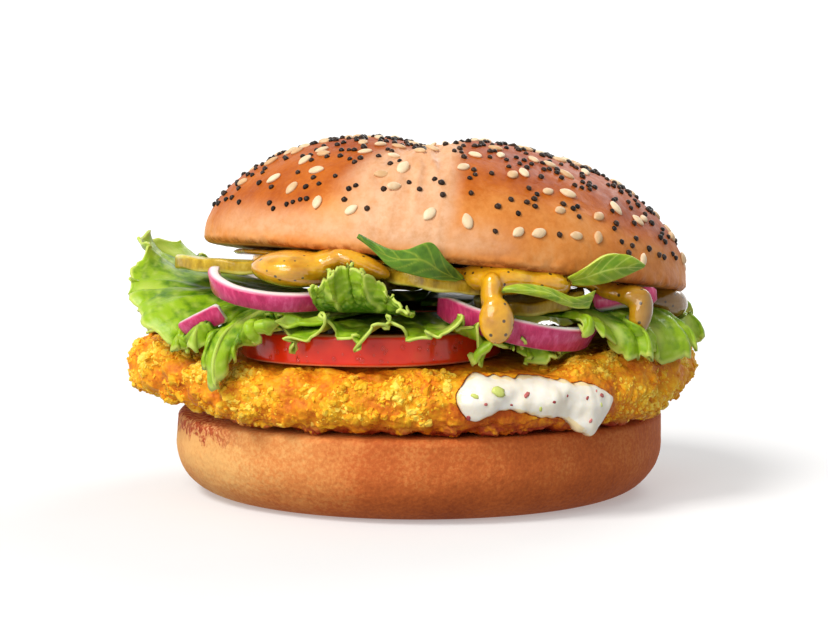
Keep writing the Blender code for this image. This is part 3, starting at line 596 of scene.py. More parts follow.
def crumb_paint(name, value_name):
    """Fried crumbs: orange-brown in the crevices, golden on top, yellow on the tips, crimson low down. The
    colour by relief is partly the crumbs' own and partly painted shade in the crevices and painted light on
    the tips.
    """
    paint = Paint(
        name, Roughness=0.5, Specular_IOR_Level=0.16,
        Subsurface_Weight=0.06, Subsurface_Scale=0.0006, Subsurface_Radius=(1.0, 0.45, 0.1)
    )
    value = paint.uneven(paint.stored(value_name), paint.noise(7, 3), 0.16, 0.16)
    value = paint.uneven(value, paint.noise(0.7, 3, 0.7), 0.09, 0.09)
    # Low values are painted shade in the crevices and high ones painted light on the tips, over the crumbs'
    # own colours.
    golden = paint.ramp(
        value, (0.0, (0.50, 0.085, 0.006)), (0.25, (0.74, 0.21, 0.008)), (0.5, (0.88, 0.37, 0.012)),
        (0.75, (0.95, 0.53, 0.022)), (1.0, (1.0, 0.72, 0.10))
    )
    low = paint.span(paint.axis("Z"), 0.0225, 0.0185)
    patches = paint.span(paint.noise(3.4, 2), 0.42, 0.52)
    paint.colour(paint.mix(paint.maths("MULTIPLY", low, patches), golden, (0.36, 0.035, 0.014)))
    paint.bump((paint.noise(0.5, 3, 0.7), 0.12), (paint.cells(1.0), 0.12))
    return paint.material


def cream_paint():
    """Wet white cream, with golden patches along its border."""
    paint = Paint(
        "cream_look", Roughness=0.14, Specular_IOR_Level=0.5,
        Subsurface_Weight=0.25, Subsurface_Scale=0.0015, Subsurface_Radius=(1.0, 0.8, 0.5)
    )
    middle = paint.ramp(paint.noise(5, 3), (0.3, (0.86, 0.77, 0.60)), (0.65, (0.93, 0.89, 0.80)))
    ragged = paint.uneven(paint.stored("edge"), paint.noise(1.6, 3), 0.35, 0.35)
    border = paint.span(ragged, 0.45, 1.0, 0.0, 0.8)
    paint.colour(paint.mix(border, middle, (0.92, 0.70, 0.32)))
    paint.bump((paint.noise(1.6, 3), 0.10), (paint.noise(5, 2), 0.35))
    return paint.material


def tomato_paint():
    """Red skin, and wetter, paler flesh on the cut faces, with a painted highlight as a pale line at the
    rim.
    """
    paint = Paint(
        "tomato_look", Roughness=0.18, Specular_IOR_Level=0.2, Coat_Weight=0.4, Coat_Roughness=0.05,
        Subsurface_Weight=0.12, Subsurface_Scale=0.0015, Subsurface_Radius=(1.0, 0.2, 0.1)
    )
    skin = paint.ramp(
        paint.noise(9, 3),
        (0.25, (0.84, 0.018, 0.004)), (0.55, (1.0, 0.045, 0.008)), (0.8, (1.0, 0.12, 0.02))
    )
    flesh = paint.ramp(paint.noise(3, 3), (0.3, (0.64, 0.04, 0.012)), (0.7, (0.84, 0.15, 0.05)))
    surface = paint.mix(paint.stored("cut"), skin, flesh)
    # Painted highlight: a pale line where the cut face's rim catches the light.
    paint.colour(paint.mix(paint.stored("rim"), surface, (0.92, 0.42, 0.26)))
    paint.bump((paint.noise(1.4, 2), 0.02), (paint.noise(12, 2), 0.3))
    return paint.material


def water_paint():
    """Clear water."""
    paint = Paint("water", Roughness=0.02, IOR=1.33, Transmission_Weight=1.0)
    paint.bump((paint.noise(1.5, 1), 0.01),)
    return paint.material


def leaf_paint(name, deep, bright, pale, rough=0.34):
    """A leaf with painted shade: a deep shaded green towards its root inside the burger and a lit green
    along its ruffles; pale at its veins, and pale at its edge, partly its own colour and partly a painted
    highlight.
    """
    paint = Paint(
        name, Roughness=rough, Specular_IOR_Level=0.22,
        Subsurface_Weight=0.18, Subsurface_Scale=0.0012, Subsurface_Radius=(0.6, 1.0, 0.1)
    )
    # Painted shade: the tone runs from the shaded green at the root to the lit green out at the edge.
    tone = paint.uneven(paint.stored("reach"), paint.noise(7, 3), 0.26, 0.20)
    tone = paint.uneven(tone, paint.noise(2.2, 3), 0.16, 0.12)
    blade = paint.ramp(tone, (0.35, deep), (0.8, bright))
    veined = paint.mix(paint.maths("MULTIPLY", paint.stored("vein"), 0.65), blade, pale)
    # The pale edge is partly the leaf's own colour and partly a painted highlight.
    paint.colour(paint.mix(paint.span(paint.stored("reach"), 0.955, 0.99, 0.0, 0.85), veined, pale))
    paint.bump((paint.noise(1.1, 3), 0.06), (paint.noise(3.2, 3), 0.22))
    return paint.material


def onion_paint():
    """Magenta skin with fine upright streaks, and a white, pink-edged cut face."""
    paint = Paint(
        "onion_look", Roughness=0.2, Specular_IOR_Level=0.28,
        Subsurface_Weight=0.2, Subsurface_Scale=0.0015, Subsurface_Radius=(1.0, 0.5, 0.7)
    )
    streaks = paint.noise(1.0, 3, 0.6, (1, 1, 0.12))
    tone = paint.uneven(streaks, paint.noise(8, 2), 0.14, 0.14)
    tone = paint.maths("ADD", tone, paint.stored("pale"))
    skin = paint.ramp(
        tone, (0.3, (0.30, 0.006, 0.045)), (0.5, (0.58, 0.026, 0.11)), (0.72, (0.84, 0.14, 0.32)),
        (1.0, (0.95, 0.68, 0.76))
    )
    flesh = paint.ramp(
        paint.stored("depth"), (0.0, (0.62, 0.04, 0.16)), (0.16, (0.92, 0.70, 0.76)),
        (0.35, (0.97, 0.94, 0.90)), (1.0, (0.92, 0.82, 0.82))
    )
    paint.colour(paint.mix(paint.stored("cut"), skin, flesh))
    paint.bump((streaks, 0.05),)
    return paint.material


def pickle_paint():
    """Yellow-green flesh and a darker, streaky olive skin."""
    paint = Paint(
        "pickle_look", Roughness=0.22, Specular_IOR_Level=0.28,
        Subsurface_Weight=0.25, Subsurface_Scale=0.002, Subsurface_Radius=(1.0, 0.8, 0.1)
    )
    skin = paint.ramp(
        paint.noise(2.0, 4, 0.6, (1, 1, 0.5)),
        (0.3, (0.26, 0.15, 0.006)), (0.55, (0.52, 0.33, 0.016)), (0.8, (0.76, 0.56, 0.07))
    )
    flesh = paint.ramp(paint.noise(3.0, 3), (0.3, (0.56, 0.44, 0.04)), (0.7, (0.80, 0.72, 0.18)))
    paint.colour(paint.mix(paint.stored("cut"), skin, flesh))
    paint.bump((paint.noise(1.2, 3), 0.12),)
    return paint.material


def mustard_paint():
    """Glossy amber sauce with fine dark specks, and painted shade that turns it olive-brown at the far
    right.
    """
    paint = Paint(
        "mustard_look", Roughness=0.16, Specular_IOR_Level=0.35, Coat_Weight=0.8, Coat_Roughness=0.03,
        Subsurface_Weight=0.35, Subsurface_Scale=0.0025, Subsurface_Radius=(1.0, 0.55, 0.1)
    )
    body = paint.ramp(
        paint.noise(5, 3),
        (0.3, (0.56, 0.24, 0.006)), (0.55, (0.80, 0.40, 0.010)), (0.8, (0.95, 0.60, 0.04))
    )
    specks = paint.span(paint.cells(2.2), 0.20, 0.13)
    # Painted shade: past 40 mm to the right the sauce turns a darker olive-brown, for the blob there that
    # sits in shade.
    olive = paint.mix(paint.span(paint.axis("X"), 0.040, 0.050), body, (0.30, 0.14, 0.010))
    paint.colour(paint.mix(specks, olive, (0.10, 0.055, 0.012)))
    paint.bump((paint.noise(2.4, 2), 0.25), (paint.noise(0.9, 2), 0.04))
    return paint.material


def tone_paint(name, low, high, roughness, size, depth):
    """Each thing in the piece has its own tone between two colours."""
    paint = Paint(name, Roughness=roughness, Specular_IOR_Level=0.22)
    value = paint.uneven(paint.stored("tone"), paint.noise(size, 3), 0.15, 0.15)
    paint.colour(paint.ramp(value, (0.0, low), (1.0, high)))
    paint.bump((paint.noise(size, 3), depth),)
    return paint.material


# The bottom half of the bun

def heel_profile():
    arc = [math.radians(90 * step / 20) for step in range(21)]
    middle = (HEEL_RADIUS - HEEL_EDGE, HEEL_EDGE)
    edge = [(middle[0] + HEEL_EDGE * math.cos(a), middle[1] - HEEL_EDGE * math.sin(a)) for a in arc]
    inner = [(radius, HEEL_HEIGHT) for radius in (0, 20 * MM, 40 * MM, HEEL_RADIUS - 1.5 * HEEL_LIP)]
    lip = (HEEL_RADIUS - HEEL_LIP / 2, HEEL_HEIGHT - HEEL_LIP)
    return inner + finer([lip, *edge], 0.8 * MM) + [(22 * MM, 0), (0, 0)]


def heel_shape(point):
    """The heel's side is a little uneven, and its base and cut face stay flat."""
    side = smooth(0, 5 * MM, point.z) * smooth(0.6, 0.95, math.hypot(point.x, point.y) / HEEL_RADIUS)
    swell = 1 + 0.012 * side * lumps(point, 34 * MM, 3)
    swell += 0.0035 * side * lumps(point, 7 * MM, 6) + 0.0012 * side * lumps(point, 1.6 * MM, 9)
    return Vector((point.x * swell, point.y * swell, point.z))


def make_heel():
    obj = turned("bun_bottom_crust", heel_profile(), HEEL_STEPS, heel_shape)
    finish_piece(obj, bread_bottom_paint(), "bun_bottom", "bun_bottom")


# The top half of the bun

def crown_profile():
    rows = 130
    dome = []
    for row in range(rows + 1):
        share = math.sin(math.radians(90 * row / rows))
        fall = (1 - share ** CROWN_FULLNESS[0]) ** CROWN_FULLNESS[1]
        dome.append((CROWN_RADIUS * share, CROWN_EDGE + CROWN_RISE * fall))
    edge = []
    for turn in range(8, 91, 8):
        inward = CROWN_EDGE * (1 - math.cos(math.radians(turn)))
        edge.append((CROWN_RADIUS - inward, CROWN_EDGE * (1 - math.sin(math.radians(turn)))))
    return [*dome, *edge, (49 * MM, 0), (46 * MM, 0), (30 * MM, 0), (0, 0)]


def cleft(x, y):
    """How deep the crease in the crust is, from 0 to 1, at a place seen from above."""
    line = -1.1 * MM + (0.27 if y < 0 else 0.1) * y
    away = (x - line) / ((9 if x < line else 5.5) * MM)
    ends = smooth(-50 * MM, -18 * MM, y) * (1 - smooth(8 * MM, 44 * MM, y))
    return ends * math.exp(-abs(away) ** 1.6)


def dough_band(x, y):
    """1 where the dough has stretched: a wedge that opens from the crease towards the front left."""
    forward = min(1.0, max(0.0, (-20 * MM - y) / (21 * MM)))
    middle = -3 * MM - 8.5 * MM * forward
    half = 4 * MM + 8 * MM * forward
    away = (x - middle) / half
    left, right = 1 - smooth(0.45, 1.35, -away), 1 - smooth(0.75, 1.15, away)
    return left * right * (1 - smooth(4 * MM, 26 * MM, y))


def crown_shape(point):
    """The dome falls off to both sides, its crust is creased, and the stretched dough wrinkles."""
    height = smooth(0, 6 * MM, point.z)
    lean = 1 - CROWN_FALL * (point.x / CROWN_RADIUS) ** 2
    swell = 1 + height * 0.014 * lumps(point, 30 * MM, 8)
    sunk = CLEFT_DEPTH * cleft(point.x, point.y) * height
    band = dough_band(point.x, point.y) * height
    folds = noise.ridged_multi_fractal(
        Vector((point.x / (3.4 * MM), point.y / (11 * MM), 0.4)), 0.9, 2.1, 3, 1.0, 2.0
    )
    upper = smooth(10 * MM, 20 * MM, point.z)
    sunk -= (0.25 + 0.55 * upper) * MM * band * (folds - 0.9)
    dimples, pores = lumps(point, 8 * MM, 31), lumps(point, 1.7 * MM, 17)
    sunk -= 0.30 * MM * height * dimples + 0.07 * MM * height * pores
    ragged = 1 - smooth(1 * MM, 4 * MM, point.z)
    outer = smooth(0.85, 0.97, math.hypot(point.x, point.y) / CROWN_RADIUS)
    sunk -= 0.45 * MM * ragged * lumps(point, 2.2 * MM, 12) * outer
    inward = Vector((point.x, point.y, point.z + 14 * MM)).normalized()
    return Vector((point.x * swell, point.y * swell, point.z * lean * swell)) - inward * sunk


def low_dough(place):
    """1 low down at the front left, where the crust is paler."""
    across = smooth(-54 * MM, -44 * MM, place.x) * (1 - smooth(4 * MM, 18 * MM, place.x))
    return across * smooth(0, -16 * MM, place.y) * (1 - smooth(4 * MM, 11 * MM, place.z))


def crown_tones(obj):
    """How brown the crust is, with painted shade that darkens it towards the right, where it has stretched
    or scorched, and which part is the cut face.
    """
    browned, band, edge, under = [], [], [], []
    for vertex in obj.data.vertices:
        x, y, z = vertex.co
        reach = math.hypot(x, y) / CROWN_RADIUS
        to_left, to_right = smooth(-12 * MM, -38 * MM, x), smooth(20 * MM, 46 * MM, x)
        brown_from = 16 * MM - 10 * MM * to_left - 6 * MM * to_right
        top = smooth(brown_from - 4 * MM, brown_from + 4 * MM, z + 2 * MM * lumps(vertex.co, 9 * MM, 14))
        # Painted shade: the crust darkens towards the right, away from the key light.
        right = smooth(-15 * MM, 35 * MM, x)
        peak = smooth(19 * MM, 26 * MM, z)
        browned.append(0.16 + 0.42 * top + 0.12 * peak + 0.13 * right + 0.10 * lumps(vertex.co, 16 * MM, 4))
        stretched = max(dough_band(x, y), 0.75 * low_dough(vertex.co))
        band.append(stretched * smooth(1 * MM, 4 * MM, z))
        scorched = 1 - smooth(0.3 * MM, 1.7 * MM, z + 0.6 * MM * lumps(vertex.co, 4 * MM, 6))
        edge.append(scorched * smooth(0.9, 0.97, reach))
        under.append(1.0 if z < 0.35 * MM and reach < 0.96 else 0.0)
    for name, values in (("browned", browned), ("band", band), ("edge", edge), ("under", under)):
        store(obj, name, values)


def seed_places(count, spacing, pick, taken, apart, wanted=lambda x, y: 1.0):
    """Places seen from above, thrown at random with at least spacing between them."""
    places = []
    for _ in range(60 * count):
        reach = CROWN_RADIUS * 0.985 * math.sqrt(pick.random())
        angle = 2 * math.pi * pick.random()
        here = Vector((reach * math.cos(angle), reach * math.sin(angle)))
        near = any((here - other).length < spacing for other in places)
        hit = any((here - other).length < apart for other in taken)
        chosen = wanted(here.x, here.y) >= 1 or pick.random() < wanted(here.x, here.y)
        if not near and not hit and chosen:
            places.append(here)
        if len(places) == count:
            break
    return places


def seed_template():
    """A sesame seed: flat, round at one end and pointed at the other."""
    points, faces = pebble(3, 0.05, 2)
    taper = 1 - 0.42 * np.clip(points[:, 0], 0, 1) ** 1.5
    points[:, 1] *= taper
    points[:, 2] *= 0.8 + 0.2 * taper
    return points, faces


def make_seeds(crown):
    """The seeds of the solid come first, in the same places, and more are thrown between them."""
    tree = tree_of(crown)
    pick = random.Random(11)
    sesame = seed_places(SOLID_SEEDS[0], 9 * MM, pick, [], 2.2 * MM)
    poppy = seed_places(SOLID_SEEDS[1], 9 * MM, pick, sesame, 2.2 * MM)
    spins = [2 * math.pi * pick.random() for _ in sesame]

    def scarce(x, y):
        """Fewer seeds on the stretched dough and low down."""
        low = smooth(0.55, 0.85, math.hypot(x, y) / CROWN_RADIUS)
        return (1 - 0.6 * dough_band(x, y)) * (1 - 0.25 * low) * 0.98

    more = seed_places(ALL_SEEDS[0] - len(sesame), 3.0 * MM, pick, sesame + poppy, 3.1 * MM, scarce)
    spins += [2 * math.pi * pick.random() for _ in more]
    sesame += more
    poppy += seed_places(ALL_SEEDS[1] - len(poppy), 1.3 * MM, pick, sesame, 1.9 * MM, scarce)
    placed = []
    for place, spin in zip(sesame, spins):
        hit, normal, _face, _span = tree.ray_cast(Vector((place.x, place.y, 1)), Vector((0, 0, -1)))
        grown = 0.9 + 0.25 * pick.random()
        tilted = (normal + 0.12 * Vector((pick.random() - 0.5, pick.random() - 0.5, 0))).normalized()
        size = [side * grown for side in SESAME_SIZE]
        matrix = lying(hit + normal * 0.35 * SESAME_SIZE[2], tilted, spin, size)
        placed.append((0, CROWN_MATRIX @ matrix, pick.random()))
    obj = joined_copies("sesame_seeds", [seed_template()], placed)
    paint = tone_paint("sesame", (0.66, 0.40, 0.19), (0.88, 0.70, 0.46), 0.45, 1.2, 0.06)
    finish_piece(obj, paint, "bun_top")
    placed = []
    for place in poppy:
        hit, normal, _face, _span = tree.ray_cast(Vector((place.x, place.y, 1)), Vector((0, 0, -1)))
        grown = POPPY_RADIUS * (0.85 + 0.3 * pick.random())
        size = (grown * 1.12, grown, grown * 0.9)
        matrix = lying(hit + normal * 0.3 * grown, normal, 6 * pick.random(), size)
        placed.append((0, CROWN_MATRIX @ matrix, pick.random()))
    obj = joined_copies("poppy_seeds", [pebble(2, 0.12, 5)], placed)
    paint = tone_paint("poppy", (0.004, 0.002, 0.001), (0.040, 0.018, 0.008), 0.3, 0.4, 0.12)
    finish_piece(obj, paint, "bun_top")


def make_crown():
    obj = turned("bun_top_crust", crown_profile(), CROWN_STEPS, crown_shape)
    crown_tones(obj)
    make_seeds(obj)
    obj.data.transform(CROWN_MATRIX)
    finish_piece(obj, bread_top_paint(), "bun_top", "bun_top")


# The patty and its cream

def patty_reach(angle):
    across, deep = PATTY_DEEP * math.cos(angle), PATTY_WIDE * math.sin(angle)
    oval = PATTY_WIDE * PATTY_DEEP / math.hypot(across, deep)
    return oval + 1.3 * MM * noise.noise(Vector((2.1 * math.cos(angle), 2.1 * math.sin(angle), 4.2)))


def patty_profile():
    rows = 66
    half = PATTY_THICK / 2
    side = []
    for row in range(rows + 1):
        turn = math.radians(90 - 180 * row / rows)
        out = max(math.cos(turn), 0) ** (2 / PATTY_SQUARENESS)
        up = math.copysign(abs(math.sin(turn)) ** (2 / PATTY_SQUARENESS), turn)
        side.append((PATTY_CORE + (PATTY_NOMINAL - PATTY_CORE) * out, half + half * up))
    top = [(reach * MM, PATTY_THICK) for reach in (0, 10, 20, 27, 32, 36, *range(39, 52))]
    bottom = [(reach * MM, 0) for reach in (51, 49, 46, 40, 20, 0)]
    return [*top, *side, *bottom]


def patty_lift(x):
    return PATTY_LIFT * (smooth(22 * MM, 50 * MM, x) + smooth(41 * MM, 60 * MM, -x))


def patty_curl(x):
    """How far the patty's underside curls up towards its ends, off the bun."""
    right = PATTY_CURL_RIGHT * smooth(50 * MM, 64 * MM, x)
    return right + PATTY_CURL_LEFT * smooth(30 * MM, 54 * MM, -x)


def in_cream(angle, height):
    """1 behind the cream and 0 away from it, at an angle and a height above the table."""
    share = ((angle % (2 * math.pi)) - CREAM_FROM) / (CREAM_TO - CREAM_FROM)
    along = smooth(-0.1, 0.02, share) * (1 - smooth(0.98, 1.1, share))
    low, high = between(CREAM_BOTTOM, share) * MM, between(CREAM_TOP, share) * MM
    above = smooth(low - 3.5 * MM, low - 1 * MM, height)
    return along * above * (1 - smooth(high + 0.4 * MM, high + 2 * MM, height))


def under_tomato(x, y, margin=6 * MM):
    return any(math.hypot(x - cx, y - cy) < radius + margin for cx, cy, radius in TOMATO_SLICES.values())


def crags(point):
    return 0.9 * lumps(point, CRAG_SIZE, 21) + 0.55 * lumps(point, CRAG_SIZE * 0.45, 5)


def flakes(point, size, seed):
    """Broken plates about as large as size: each has its own height and tilt, from 0 to about 1."""
    spans, middles = noise.voronoi(point / size + Vector((seed, -seed, seed)))
    plate = smooth(0.0, 0.22, spans[1] - spans[0])
    middle = middles[0] * 7.3
    own = noise.noise(middle)
    tilt = (point / size + Vector((seed, -seed, seed)) - middles[0]).dot(noise.noise_vector(middle * 0.9))
    return plate * (0.5 + 0.6 * own + 0.75 * tilt)


def crumb_height(point):
    """The relief of the crumb coating, from about -0.2 to 1: plates on plates, clumped together."""
    warped = point + noise.noise_vector(point / (2.4 * MM)) * 0.9 * MM
    clump = 0.5 + 0.9 * lumps(point, 6 * MM, 33)
    clump = min(1.0, max(0.15, clump))
    large = flakes(warped, 3.4 * MM, 0)
    small = flakes(warped, 1.5 * MM, 5)
    return clump * (0.65 * large + 0.35 * small) + 0.12 * lumps(point, 0.8 * MM, 3)


def patty_shape(point):
    """The solid's own crags first, then the crumbs that it leaves out."""
    angle = math.atan2(point.y, point.x)
    radius = math.hypot(point.x, point.y)
    spread = patty_reach(angle) / PATTY_NOMINAL
    x, y = point.x * spread + PATTY_SHIFT * abs(math.cos(angle)), point.y * spread
    z = PATTY_BASE + point.z * (1 + patty_lift(x) / PATTY_THICK)
    z += patty_curl(x) * (1 - point.z / PATTY_THICK)
    rim = smooth(40 * MM, 53 * MM, radius)
    hidden = in_cream(angle, z)
    out = Vector((radius - PATTY_CORE + 3 * MM, point.z - PATTY_THICK / 2)).normalized()
    here = Vector((x, y, z))
    push = rim * (1 - hidden) * CRAG_DEPTH * crags(here)
    push += (0.3 + 0.7 * rim) * (1 - 0.5 * hidden) * 2.0 * MM * (crumb_height(here) - 0.5)
    x += push * out.x * math.cos(angle)
    y += push * out.x * math.sin(angle)
    z += push * out.y
    if math.hypot(x, y) < HEEL_RADIUS + 1 * MM:
        z = max(z, PATTY_BASE)
    if under_tomato(x, y):
        z = min(z, PATTY_TOP)
    return Vector((x, y, z))


def cream_place(s, turn, grow):
    """The point of the burst cream at a share of its length and a turn round its section."""
    more = grow / PATTY_NOMINAL
    angle = CREAM_FROM - more + (CREAM_TO - CREAM_FROM + 2 * more) * s
    low, high = between(CREAM_BOTTOM, s) * MM, between(CREAM_TOP, s) * MM
    ragged = 0.7 * MM * noise.noise(Vector((17 * s, math.sin(turn), 3))) * abs(math.sin(turn))
    ends = (1 - (2 * s - 1) ** 8) ** 0.5
    height = (low + high) / 2 + ((high - low) / 2 * ends + grow + ragged * ends) * math.sin(turn)
    face = max(math.cos(turn), 0) ** 0.85
    reach = patty_reach(angle)
    middle = PATTY_BASE + PATTY_THICK / 2
    rise = max(0.0, height - middle) / (PATTY_THICK / 2 + patty_lift(reach * math.cos(angle)))
    full = (1 - min(rise, 0.97) ** PATTY_SQUARENESS) ** (1 / PATTY_SQUARENESS)
    side = PATTY_CORE + (PATTY_NOMINAL - PATTY_CORE) * full
    back = reach * side / PATTY_NOMINAL
    lump = 1 + 0.5 * noise.noise(Vector((8 * s, height / (5 * MM), 1)))
    lump += 0.14 * noise.noise(Vector((19 * s, height / (2.6 * MM), 5)))
    out = CREAM_THICK * lump * face * ends + grow if abs(turn) < math.pi / 2 else -CREAM_SUNK - grow
    radius = back + out
    shift = PATTY_SHIFT * abs(math.cos(angle))
    return Vector((radius * math.cos(angle) + shift, radius * math.sin(angle), height))


def cream_body(name, grow=0.0):
    """The burst cream joined to the core that it comes from."""
    shape = bmesh.new()
    lie = Matrix.Rotation(math.radians(90), 4, "Y")
    bmesh.ops.create_uvsphere(shape, u_segments=64, v_segments=150, radius=1, matrix=lie)
    for vertex in shape.verts:
        s = math.acos(max(-1.0, min(1.0, -vertex.co.x))) / math.pi
        vertex.co = cream_place(s, math.atan2(vertex.co.z, -vertex.co.y), grow)
    bmesh.ops.recalc_face_normals(shape, faces=shape.faces)
    obj = new_object(name, [], [])
    shape.to_mesh(obj.data)
    shape.free()
    for centre, radii in (CREAM_CORE, CREAM_WAY_OUT):
        grown = [radius + grow / MM for radius in radii]
        boolean(obj, ellipsoid("cream_inside", centre, grown, segments=64, rings=12), "UNION")
    return obj


def cream_edge(place):
    """How near a point is to the border of the burst cream: 1 at the border, 0 in the middle."""
    share = ((math.atan2(place.y, place.x) % (2 * math.pi)) - CREAM_FROM) / (CREAM_TO - CREAM_FROM)
    low, high = between(CREAM_BOTTOM, share) * MM, between(CREAM_TOP, share) * MM
    up = abs(place.z - (low + high) / 2) / ((high - low) / 2)
    return max(smooth(0.72, 1.0, up), smooth(0.92, 1.0, abs(2 * share - 1)))


def make_cream():
    obj = cream_body("cream_burst")
    store(obj, "edge", [cream_edge(vertex.co) for vertex in obj.data.vertices])
    finish_piece(obj, cream_paint(), "cream", "cream_filling")
    pick = random.Random(5)
    tree = tree_of(obj)
    bits = {"cream_red_bits": [], "cream_green_bits": []}
    for kind, x, z, size in CREAM_BITS:
        hit, normal, _face, _span = tree.ray_cast(Vector((x, -90, z)) * MM, Vector((0, 1, 0)))
        if hit is None:
            continue
        sides = [side * size * MM * (0.8 + 0.4 * pick.random()) for side in (1, 0.65, 0.3)]
        matrix = lying(hit, normal, 6.3 * pick.random(), sides)
        bits[f"cream_{kind}_bits"].append((0, matrix, pick.random()))
    looks = {
        "cream_red_bits": ((0.30, 0.02, 0.03), (0.66, 0.20, 0.18)),
        "cream_green_bits": ((0.46, 0.52, 0.04), (0.66, 0.72, 0.22)),
    }
    for kind, placed in bits.items():
        obj = joined_copies(kind, [pebble(2, 0.5, 3)], placed)
        finish_piece(obj, tone_paint(kind, *looks[kind], 0.25, 0.5, 0.05), "cream")


def scatter_crumbs(patty, name, count, subdivisions, sizes, seed):
    """Loose crumbs stuck to the coating, more of them on its side."""
    pick = random.Random(seed)
    templates = [flake(subdivisions, 3 * number + seed) for number in range(CRUMB_SHAPES)]
    vertices = patty.data.vertices
    placed = []
    while len(placed) < count:
        vertex = vertices[pick.randrange(len(vertices))]
        x, y, z = vertex.co
        reach = math.hypot(x, y)
        angle = math.atan2(y, x)
        behind_cream = in_cream(angle, z) > 0.5 + 0.4 * pick.random()
        hidden = behind_cream or reach < 44 * MM or under_tomato(x, y, 2.5 * MM)
        torn = in_cream(angle, z + 4 * MM) > 0.9 * pick.random()
        bare = lumps(vertex.co, 6 * MM, 33) < 0.6 * pick.random() - 0.4 or torn
        on_bun = reach < HEEL_RADIUS + 1 * MM and vertex.normal.z < -0.3
        if hidden or bare or on_bun:
            continue
        size = MM * (sizes[0] + (sizes[1] - sizes[0]) * pick.random() ** 2.2)
        shape = [size * (0.7 + 0.6 * pick.random()) for _ in range(3)]
        leaning = (vertex.normal + 0.5 * Vector([pick.random() - 0.5 for _ in range(3)])).normalized()
        matrix = lying(vertex.co - vertex.normal * size * 0.35, leaning, 6.3 * pick.random(), shape)
        tone = 0.60 + 0.10 * pick.gauss(0, 1)
        tone += 0.40 * lumps(vertex.co, 6 * MM, 33) + 0.22 * lumps(vertex.co, 2.5 * MM, 40)
        placed.append((pick.randrange(len(templates)), matrix, tone))
    # The tops of the crumbs get painted light, and their undersides painted shade.
    obj = joined_copies(name, templates, placed, lighter=0.22)
    finish_piece(obj, crumb_paint(name, "tone"), "patty")
    obj.data.shade_flat()


def make_patty():
    obj = turned("patty_crust", patty_profile(), PATTY_STEPS, patty_shape)
    # The coating's tone follows its relief: partly its own colour, partly painted shade in the hollows and
    # painted light on the raised crumbs.
    values = []
    for vertex in obj.data.vertices:
        torn = in_cream(math.atan2(vertex.co.y, vertex.co.x), vertex.co.z + 4 * MM)
        values.append(0.26 + 0.90 * crumb_height(vertex.co) + 0.12 * crags(vertex.co) - 0.3 * torn)
    store(obj, "height", values)
    scatter_crumbs(obj, "crust_crumbs", *COARSE_CRUMBS, seed=4)
    scatter_crumbs(obj, "crust_fine_crumbs", *FINE_CRUMBS, seed=9)
    boolean(obj, cream_body("cream_hollow", CREAM_CLEAR), "DIFFERENCE")
    finish_piece(obj, crumb_paint("crumb_crust", "height"), "patty", "chicken_patty")


# Tomato

def make_tomato(name, paint):
    """A lobed slice with rounded cut edges and a slightly barrelled skin."""
    cx, cy, radius = TOMATO_SLICES[name]
    edge = 0.9 * MM
    half = TOMATO_THICK / 2
    arc = [math.radians(90 - 15 * step) for step in range(7)]
    upper = [(radius - edge + edge * math.cos(a), half - edge + edge * math.sin(a)) for a in arc]
    side = [(radius, half * share) for share in (0.6, 0.4, 0.2, 0)]
    down = [(r, -h) for r, h in reversed([*upper, *side[:-1]])]
    face = [(reach * radius, half) for reach in (0, 0.2, 0.4, 0.6, 0.75, 0.88)]
    profile = [*face, *upper, *side, *down, *[(r, -h) for r, h in reversed(face)]]

    def shape(point):
        angle = math.atan2(point.y, point.x)
        lobed = 1 - 0.012 * (1 - math.cos(5 * angle))
        reach = math.hypot(point.x, point.y) / radius
        lobes = max(0, math.cos(5 * angle))
        dent = 0.35 * MM * smooth(0.2, 0.5, reach) * (1 - smooth(0.6, 0.85, reach)) * lobes
        height = TOMATO_BASE + half + point.z - math.copysign(dent, point.z)
        return Vector((cx + point.x * lobed, cy + point.y * lobed, height))

    obj = turned(name + "_slice", profile, TOMATO_STEPS, shape)
    middle = TOMATO_BASE + half
    # The rim values mark a painted highlight along the edge of each cut face.
    cut, rim = [], []
    for vertex in obj.data.vertices:
        reach = math.hypot(vertex.co.x - cx, vertex.co.y - cy) / radius
        high = smooth(half - 0.55 * MM, half - 0.2 * MM, abs(vertex.co.z - middle))
        cut.append(high)
        rim.append(high * smooth(0.93, 0.965, reach) * 0.8)
    store(obj, "cut", cut)
    store(obj, "rim", rim)
    return finish_piece(obj, paint, "tomato", name)


def make_drops(tomato):
    """Water beads on the front of the skin."""
    cx, cy, radius = TOMATO_SLICES["tomato_front"]
    pick = random.Random(21)
    tree = tree_of(tomato)
    placed = []
    for _ in range(WATER_DROPS):
        angle = math.radians(222 + 92 * pick.random())
        height = TOMATO_BASE + TOMATO_THICK * (0.14 + 0.72 * pick.random())
        out = Vector((math.cos(angle), math.sin(angle), 0))
        start = Vector((cx, cy, height)) + out * radius * 1.3
        hit, normal, _face, _span = tree.ray_cast(start, -out)
        size = MM * (0.22 + 0.46 * pick.random() ** 2)
        placed.append((0, lying(hit, normal, 0, (size, size * 1.1, size * 0.55)), 0.5))
    obj = joined_copies("water_drops", [pebble(3, 0.06, 1)], placed)
    finish_piece(obj, water_paint(), "tomato")


# Red onion: centre and outer radius in mm, the angles each arc runs between, band height in mm, and
# turns about X and Y in degrees

ONIONS = {
    "onion_ring_left": ((-29.1, -38, 48.9), 14.4, (168, 372), 4.2, (13, 5)),
    "onion_piece_left": ((-36.6, -25.8, 45.4), 18, (217, 254), 4.4, (0, -28)),
    "onion_ring_right": ((18.5, -33, 42.6), 19, (221, 376), 5.4, (8, 15)),
    "onion_tip_right": ((43, -21.2, 39.4), 15, (250, 304), 3.6, (-25, -10)),
    "onion_ring_back": ((-34, 24, 46.4), 15, (30, 172), 4.2, (-4, 4)),
}


